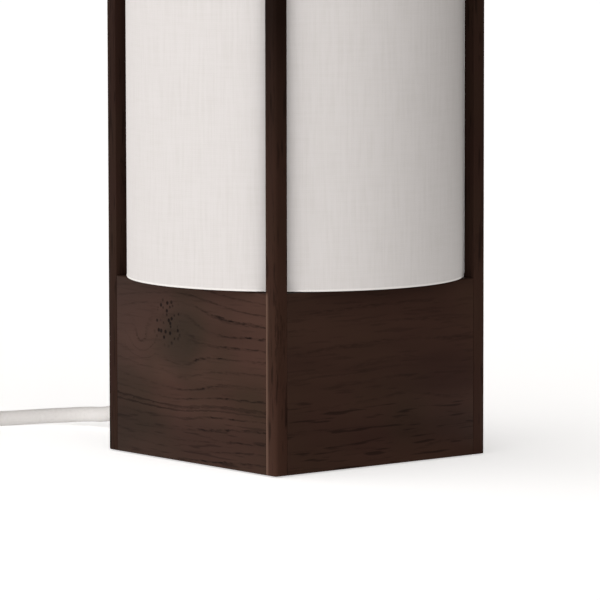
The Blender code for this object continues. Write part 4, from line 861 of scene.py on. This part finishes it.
for name, way in (("left", -1), ("right", 1)):
    centre = (rearX + way * pinSet["apart"] / 2, rearY - plugSet["length"] - pinSet["gap"], plugSet["middle"])
    points = turnedPoints(profile[:, 0], profile[:, 1], 32, centre, (0, -1, 0), (1, 0, 0))
    addPiece(f"plug_contact_{name}", points, [plastic, brass], "brass", f"plug_pin_{name}",
                         rowFinish=(profile[:-1, 1] > sleeve).astype(int))

# Tie: a flat strap carried round the coil's section in a loop
tieSet = {"near": -0.17272, "far": -0.14322, "low": 0.0005, "high": 0.0178, "corner": 0.004, "thick": 0.001,
          "half": 0.006, "round": 0.0003, "spacing": 0.0012}
middle = np.array((tieSet["near"] + tieSet["far"], tieSet["low"] + tieSet["high"])) / 2
wide, high = tieSet["far"] - tieSet["near"], tieSet["high"] - tieSet["low"]
loop = outline(wide / 2, high / 2, tieSet["corner"], 7)[0]
loop = np.roll(loop[::-1], -7, 0) + middle  # starts on the next corner
loop = np.column_stack([loop[:, 0], np.full(len(loop), coilSet["centre"][1]), loop[:, 1]])
loop = evenly(np.vstack([loop, loop[:1]]), tieSet["spacing"])
outward = unit(np.cross(np.roll(loop[:-1], -1, 0) - np.roll(loop[:-1], 1, 0), (0, 1, 0)))
section = outline(tieSet["half"], tieSet["thick"] / 2, tieSet["round"], 3)[0]
points = loop[:-1, None] + section[:, :1] * np.array((0, 1.0, 0)) + section[:, 1:] * outward[:, None]
tie = addPiece("coil_strap", points, [webbing], "felt", "cord_tie", ring=True, sharp=60,
               uv=(runAlong(loop), runAlong(np.vstack([section, section[:1]]))))
print("cord fittings made")

# Countersunk wood screws: the head's top, its cone, a shank with one thread wound on it, and the point.
# The radius dips once for each pitch of depth less the turn's share of it, and the top sinks in a cross
screwSet = {"head": 0.003, "cone": 0.0018, "shank": 0.0015, "length": 0.014, "point": 0.003, "pitch": 0.0014,
            "thread": 0.0004, "smooth": 0.004, "arm": 0.00045, "reach": 0.0021, "recess": 0.001,
            "flank": 0.0002, "slope": 0.0005, "sharp": 0.0001, "topRows": 16, "steps": 64}


def woodScrew(name, top, way, node):
    head, cone, shank, length, sharp = (screwSet[key] for key in ("head", "cone", "shank", "length", "sharp"))
    shankEnd, topRows = length - screwSet["point"], screwSet["topRows"]
    depth = np.concatenate([np.zeros(topRows), [sharp], np.linspace(cone, shankEnd, 50),
                            np.linspace(shankEnd, length, 8)[1:]])
    radius = np.interp(depth, [sharp, cone, shankEnd, length], [head, shank, shank, sharp])
    radius[:topRows] = np.linspace(sharp, head - sharp, topRows)
    angle = circle(screwSet["steps"])
    wound = 0.5 - 0.5 * np.cos(2 * np.pi * depth[:, None] / screwSet["pitch"] - angle)
    threaded = (depth > screwSet["smooth"]) * np.minimum(radius / shank, 1)
    cut = screwSet["thread"] * threaded[:, None] * wound
    points = turnedPoints(radius[:, None] - cut, -depth, len(angle), top, (0, 0, way))
    out = radius[:topRows, None]
    across = np.minimum(np.abs(np.cos(angle)), np.abs(np.sin(angle))) * out
    cross = (ramp(across, screwSet["arm"], screwSet["arm"] - screwSet["flank"])
             * ramp(out, screwSet["reach"], screwSet["reach"] - screwSet["slope"]))
    points[:topRows, :, 2] -= way * screwSet["recess"] * cross
    return addPiece(name, points, [steel], "steel", node)


for corner in corners:
    for kind, way in (("deck", 1), ("bottom", -1)):
        node = f"{kind}_screw_{corner}"
        low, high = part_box(node)
        top = ((low[0] + high[0]) / 2, (low[1] + high[1]) / 2, high[2] if way > 0 else low[2])
        woodScrew(f"{kind}_wood_screw_{corner}", top, way, node)
print("screws made")

# CAD nodes that stay, with their finishes
kept = {
    "deck_board": ply, "bottom_plate": ply, "ballast_plate": iron, "base_felt": felt, "holder_nipple": steel,
    "holder_washer": steel, "holder_nut": steel, "holder_lead": sheath, "gland_nut": plastic,
    **{f"corner_block_{corner}": ply for corner in corners},
}
for node, finish in kept.items():
    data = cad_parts[node].data
    data.materials.clear()
    data.materials.append(finish)
print("CAD nodes dressed:", len(kept))

# Floor: a light table under one sheet of white paper, matt with faint fibres, far wider than the view. It
# glows a little itself, and lets the tent's light through from below
floorSet = {"half": 30.0, "fibre": 0.003, "dark": "#f2f2f2", "light": "#f7f7f7", "glow": 0.53}
paper, tree, shader = newMaterial("mattPaper", Roughness=0.9, Emission_Color=(1, 1, 1, 1),
                                  Emission_Strength=floorSet["glow"])
place = addNode(tree, "TexCoord", out="Object")
fibres = addNode(tree, "TexNoise", {"Vector": place, "Scale": 1 / floorSet["fibre"], "Detail": 2}, "Fac")
tone = addNode(tree, "ValToRGB", [fibres], stops=[(0.3, floorSet["dark"]), (0.7, floorSet["light"])])
fillInputs(tree, shader, {"Base Color": tone})
floorMesh = bpy.data.meshes.new("floor")
half = floorSet["half"]
floorCorners = [(-half, -half, 0), (half, -half, 0), (half, half, 0), (-half, half, 0)]
floorMesh.from_pydata(floorCorners, [], [(0, 1, 2, 3)])
floorMesh.materials.append(paper)
floor = bpy.data.objects.new("floor", floorMesh)
scene.collection.objects.link(floor)
floor.visible_diffuse = floor.visible_glossy = floor.visible_shadow = False
print("floor laid")
